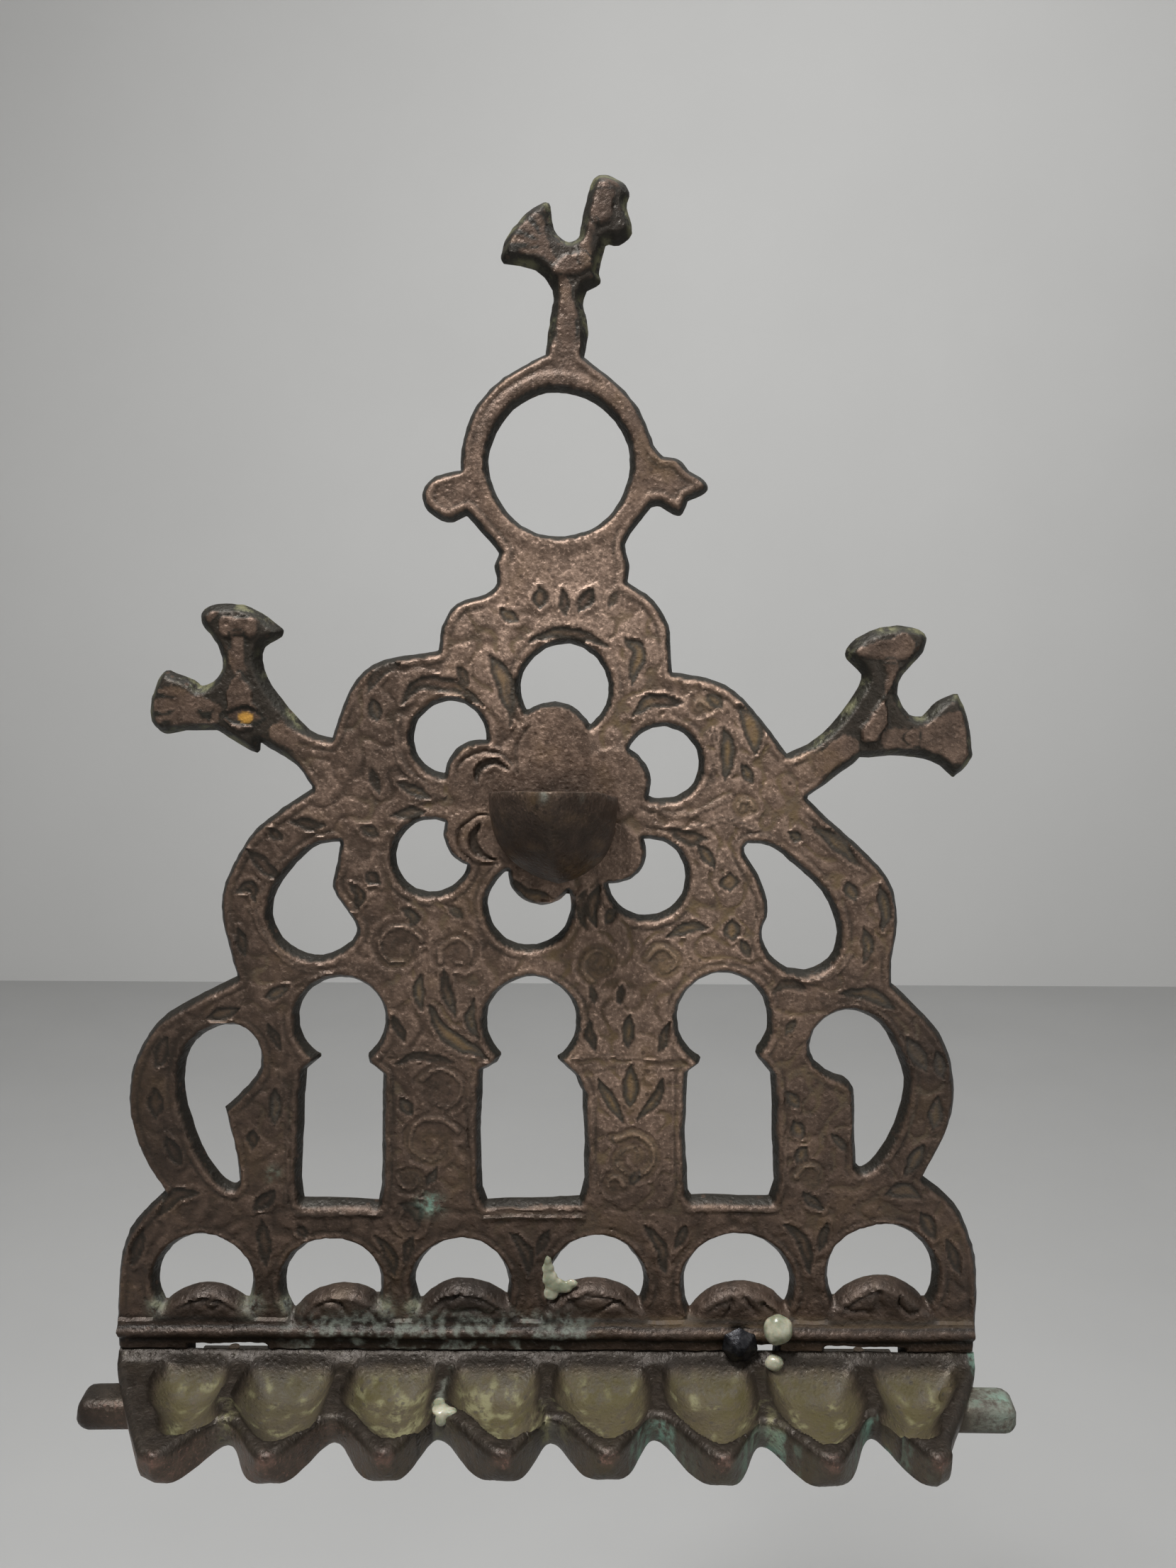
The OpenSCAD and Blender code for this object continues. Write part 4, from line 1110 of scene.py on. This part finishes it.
def cup_ring(inset, drop, narrow, reach):
    """Points of the cup's plan: inset from the outline, lowered by drop, with its width and reach scaled."""
    w = CUP_HALF - inset
    half = [(w - 0.2, 0.4 + inset), (w, 5), (w - 0.9, 10.5), (w - 3.8, 16.5), (w - 8, 21.6),
            (2.4, CUP_REACH - 2.2 - inset)]
    knots = half + [(0, CUP_REACH - 1 - inset)] + [(-x, front) for x, front in half[::-1]]
    back = [(-w + 0.2 + (2 * w - 0.4) * t / 16, 0.4 + inset) for t in range(1, 16)]
    ring = []
    for x, front in [tuple(p) for p in smooth_path(knots, 5)] + back:
        rise = front * math.tan(math.radians(6.5)) - 0.9 * max(x - 9, 0) / 4
        level = CUP_RIM_Z + rise * (1 - drop / 20) - drop
        ring.append(place(CUP_X + x * narrow + 1.2 * (drop / CUP_H) ** 2, level, max(front * reach, 0.15)))
    return ring


bm = bmesh.new()
# inset, drop, and the scales of width and reach, from the rim down to the tip and to the floor inside
hull = [(0, 0, 1, 1), (0, 1.2, 1, 0.99), (0, 3.2, 0.985, 0.96), (0, 5.4, 0.965, 0.9), (0, 7.8, 0.93, 0.83),
        (0, 10, 0.88, 0.75), (0, 12, 0.80, 0.66), (0, 13.7, 0.70, 0.57), (0, 15.2, 0.57, 0.48),
        (0, 16.6, 0.42, 0.38), (0, 17.7, 0.26, 0.28), (0, 18.4, 0.12, 0.18)]
bowl = [(0.35, -0.25, 1, 1), (1.3, -0.2, 1, 1), (1.65, 0.3, 1, 1), (1.7, 2.5, 0.98, 0.96),
        (1.7, 5.0, 0.94, 0.88), (1.7, 7.6, 0.86, 0.76), (1.7, 10.0, 0.72, 0.6), (1.7, 12.0, 0.5, 0.42),
        (1.7, 13.2, 0.25, 0.25)]
rings = [[bm.verts.new(p) for p in cup_ring(*step)] for step in hull[::-1] + bowl]
loops = [[bm.edges.new((a, b)) for a, b in zip(ring, ring[1:] + ring[:1])] for ring in rings]
for lower, upper in zip(loops, loops[1:]):
    bmesh.ops.bridge_loops(bm, edges=lower + upper)
for ring in (rings[0], rings[-1]):
    bmesh.ops.contextual_create(bm, geom=ring)
bmesh.ops.recalc_face_normals(bm, faces=bm.faces)
bmesh.ops.triangulate(bm, faces=[f for f in bm.faces if len(f.verts) > 4])
long_edges = [e for e in bm.edges if e.calc_length() > 1.4 * MM]
bmesh.ops.subdivide_edges(bm, edges=long_edges, cuts=1, use_grid_fill=True)
for v in bm.verts:
    if v.co.y < -(PLATE_T + 1) * MM:
        v.co = shaken(v.co, 180, 0.22, 5)
add_block(bm, (CUP_X - 3.5, 124, 1.2), (CUP_X + 3.5, 130, -PLATE_T - 5), 0.4, 0.05)
print("cup open edges:", sum(not e.is_manifold for e in bm.edges))
cup = to_object(bm, "servant_cup_casting")
co = points_of(cup)
x, z = drawing_xz(co)
front = -co[:, 1] / MM - PLATE_T
patch = noise_at(x, z, 3, 1.0)
# Two painted highlights on the front of the cup's rim.
rim_glints = spot(x, z, (-0.4, 138.2), 0.8) + 0.6 * spot(x, z, (7.4, 137.6), 0.7)
# Lighter towards the rim, partly random wear and partly a painted highlight; darker next to the plate, as
# painted shade.
paint(cup, worn=np.clip(0.25 + 0.5 * patch + 0.3 * smooth(130, 138, z), 0, 1),
      earth=0.15 * smooth(0.2, 0.6, patch), edge=np.zeros_like(x), soot=0.35 * smooth(3, 0.5, front),
      film=np.where(front > 20, rim_glints, 0), verdigris=np.zeros_like(x))
finish_piece(cup, cup_finish, "cup_bronze", "servant_cup", sharp=85)

# %% [markdown]
# ## Pins, nail and wax
# Small pieces, but each has its own making: a taper pin is drawn and cut, a rose-head nail is hammered with
# a few blows that leave flats, and wax runs, sags and sets.

# %% Taper pins
PIN_R, PIN_L = (0.85, 1.25), 9.5  # radius at the bottom and at the top, and length


def taper_pin(name, x, z):
    """A pin behind the plate, with its middle a tenth of its length below z."""
    middle = place(x, z - 0.1 * PIN_L, -PLATE_T - 1.4)
    bm = bmesh.new()
    bmesh.ops.create_cone(bm, cap_ends=True, segments=28, radius1=PIN_R[0] * MM, radius2=PIN_R[1] * MM,
                          depth=PIN_L * MM, matrix=Matrix.Translation(middle))
    bmesh.ops.bevel(bm, geom=[e for e in bm.edges if e.calc_face_angle(0) > 1], offset=0.3 * MM, segments=3,
                    profile=0.5, affect="EDGES", material=-1)
    long_edges = [e for e in bm.edges if e.calc_length() > 6 * MM]
    bmesh.ops.subdivide_edges(bm, edges=long_edges, cuts=10)
    for v in bm.verts:
        v.co += Vector((noise.noise(v.co * 500), 0, 0)) * 0.07 * MM
    piece = to_object(bm, name)
    finish_piece(piece, pin_finish, "pin_bronze", name.replace("_drawn", ""), sharp=40)


pin_finish = aged_bronze("bronze_pin", (0.06, 0.042, 0.028), (0.15, 0.105, 0.07), (0.28, 0.2, 0.14))
taper_pin("tray_pin_left_drawn", -70.5, 6.9)
taper_pin("tray_pin_right_drawn", 69.2, 6.9)
taper_pin("servant_pin_drawn", CUP_X, 127)

# %% Rose-head nail
NAIL = (41.6, 15.6)
HEAD_R, SHANK_R = (4.3, 1.1), (0.9, 1.5)  # radius at the back and at the front
iron = Finish("black_iron")
grain, blotch = iron.noise(0.8, 4), iron.noise(3.0, 3)
iron.set(Base_Color=iron.mix((0.008, 0.008, 0.010), (0.035, 0.034, 0.036), iron.step(blotch, 0.4, 0.7)),
         Roughness=iron.step(grain, 0.3, 0.7, 0.5, 0.3), Metallic=0.7, Normal=iron.bump(grain, 0.2))
bm = bmesh.new()
turn = Matrix.Translation(place(*NAIL, 2.1)) @ Matrix.Rotation(math.pi / 2, 4, "X")
bmesh.ops.create_cone(bm, cap_ends=True, segments=7, radius1=HEAD_R[0] * MM, radius2=HEAD_R[1] * MM,
                      depth=2.4 * MM, matrix=turn @ Matrix.Translation((0, 0, 1.5 * MM)))
bmesh.ops.create_cone(bm, cap_ends=True, segments=8, radius1=SHANK_R[0] * MM, radius2=SHANK_R[1] * MM,
                      depth=9 * MM, matrix=turn @ Matrix.Translation((0, 0, -4.4 * MM)))
bmesh.ops.bevel(bm, geom=bm.edges[:], offset=0.35 * MM, segments=3, profile=0.5, affect="EDGES", material=-1)
long_edges = [e for e in bm.edges if e.calc_length() > 0.9 * MM]
bmesh.ops.subdivide_edges(bm, edges=long_edges, cuts=2, use_grid_fill=True)
for v in bm.verts:
    v.co = shaken(v.co, 330, 0.3, 9)
nail = to_object(bm, "rose_nail_forged")
finish_piece(nail, iron.material, "black_iron", "rose_nail", sharp=30)

# %% Wax
wax = Finish("old_wax")
wax.set(Base_Color=wax.mix((0.17, 0.18, 0.12), (0.34, 0.33, 0.25), wax.step(wax.noise(3, 3), 0.35, 0.65)),
        Roughness=0.3, Subsurface_Weight=0.3, Subsurface_Scale=0.002,
        Normal=wax.bump(wax.noise(1.5, 3), 0.1))


def wax_lump(name, slot_node, *blobs):
    """Rounded blobs of wax: each has a place on the drawing, three half sizes in mm and a seed."""
    bm = bmesh.new()
    for x, z, front, sx, sf, sz, seed in blobs:
        made = bmesh.ops.create_icosphere(bm, subdivisions=4, radius=1)["verts"]
        for v in made:
            v.co *= 1 + 0.12 * noise.noise(v.co * 1.3 + Vector((seed, 0, 0))) + 0.02 * noise.noise(v.co * 4)
        bmesh.ops.transform(bm, verts=made, matrix=Matrix.Translation(place(x, z, front))
                            @ Matrix.Diagonal((sx * MM, sf * MM, sz * MM, 1)))
    piece = to_object(bm, name)
    melt = piece.modifiers.new("melt", "REMESH")
    melt.mode, melt.voxel_size = "VOXEL", 0.25 * MM
    settle = piece.modifiers.new("settle", "SMOOTH")
    settle.factor, settle.iterations = 0.5, 8
    bpy.context.view_layer.update()
    bake_modifiers(piece)
    finish_piece(piece, wax.material, "wax", slot_node, sharp=80)


wax_lump("wax_drop_large_set", "wax_drop_large", (49.8, 19.4, 2.6, 3.2, 2.4, 3.3, 1))
wax_lump("wax_drop_small_set", "wax_drop_small", (49.2, 11.6, 2.3, 2.0, 1.5, 1.8, 2))
wax_lump("wax_lump_arch_set", "wax_lump_arch",
         (-0.2, 33.6, -0.1, 0.9, 0.7, 1.6, 1), (-0.2, 31.6, -0.1, 1.4, 0.8, 1.7, 2),
         (0.2, 29.5, 0.0, 1.9, 0.8, 1.9, 3), (1.4, 27.9, 0.0, 2.4, 0.8, 1.7, 4),
         (3.4, 27.4, 0.0, 1.9, 0.7, 1.3, 5), (5.0, 28.2, -0.1, 1.4, 0.6, 1.0, 6),
         (0.4, 26.0, 0.0, 1.7, 0.7, 1.6, 7))
wax_lump("wax_lump_tray_set", "wax_lump_tray",
         (-21.4, 11.0, 18.0, 2.0, 1.8, 0.8, 6), (-22.0, 11.1, 16.0, 1.3, 1.6, 0.7, 7),
         (-19.8, 10.8, 18.4, 1.8, 1.2, 0.8, 8), (-21.2, 9.7, 19.1, 1.4, 0.9, 1.6, 9))

# %% [markdown]
# ## Floor, backdrop and light
# A plain pale floor and backdrop, a soft light in front and above at the left, a weak one from the right,
# and one behind the lamp, turned to the backdrop.

# %% Stage
FLOOR, WALL = -0.46, 1.25


def stage_plane(name, corners, material):
    bm = bmesh.new()
    bm.faces.new([bm.verts.new(c) for c in corners])
    piece = to_object(bm, name)
    piece.data.materials.append(material)


pale = Finish("pale_floor")
pale.set(Base_Color=pale.mix((0.36, 0.36, 0.356), (0.40, 0.40, 0.395), pale.noise(160, 3)), Roughness=0.85)
stage_plane("floor", [(-4, -3, FLOOR), (4, -3, FLOOR), (4, WALL, FLOOR), (-4, WALL, FLOOR)],
            pale.material)
cloth = Finish("pale_cloth")
cloth.set(Base_Color=cloth.mix((0.53, 0.53, 0.522), (0.57, 0.57, 0.562), cloth.noise(200, 3)), Roughness=0.9)
stage_plane("backdrop", [(-4, WALL, FLOOR), (4, WALL, FLOOR), (4, WALL, 3), (-4, WALL, 3)], cloth.material)


def soft_light(name, at, towards, size, watts):
    lamp = bpy.data.lights.new(name, "AREA")
    lamp.shape, lamp.size, lamp.energy = "DISK", size, watts
    light = bpy.data.objects.new(name, lamp)
    bpy.context.scene.collection.objects.link(light)
    light.location = at
    light.rotation_euler = (Vector(towards) - Vector(at)).to_track_quat("-Z", "Y").to_euler()


soft_light("key", (-0.24, -0.38, 0.72), (0, 0, -0.1), 0.26, 14)
soft_light("fill", (0.7, -0.8, 0.1), (0, 0, -0.08), 0.7, 2.5)
soft_light("wall_light", (0.35, 0.2, 1.0), (0.1, 1.2, -0.2), 1.3, 7.5)
world = bpy.data.worlds.new("studio")
world.use_nodes = True
world.node_tree.nodes["Background"].inputs["Color"].default_value = (0.80, 0.79, 0.77, 1)
world.node_tree.nodes["Background"].inputs["Strength"].default_value = 0.34
bpy.context.scene.world = world
bpy.context.scene.view_settings.view_transform = "Standard"
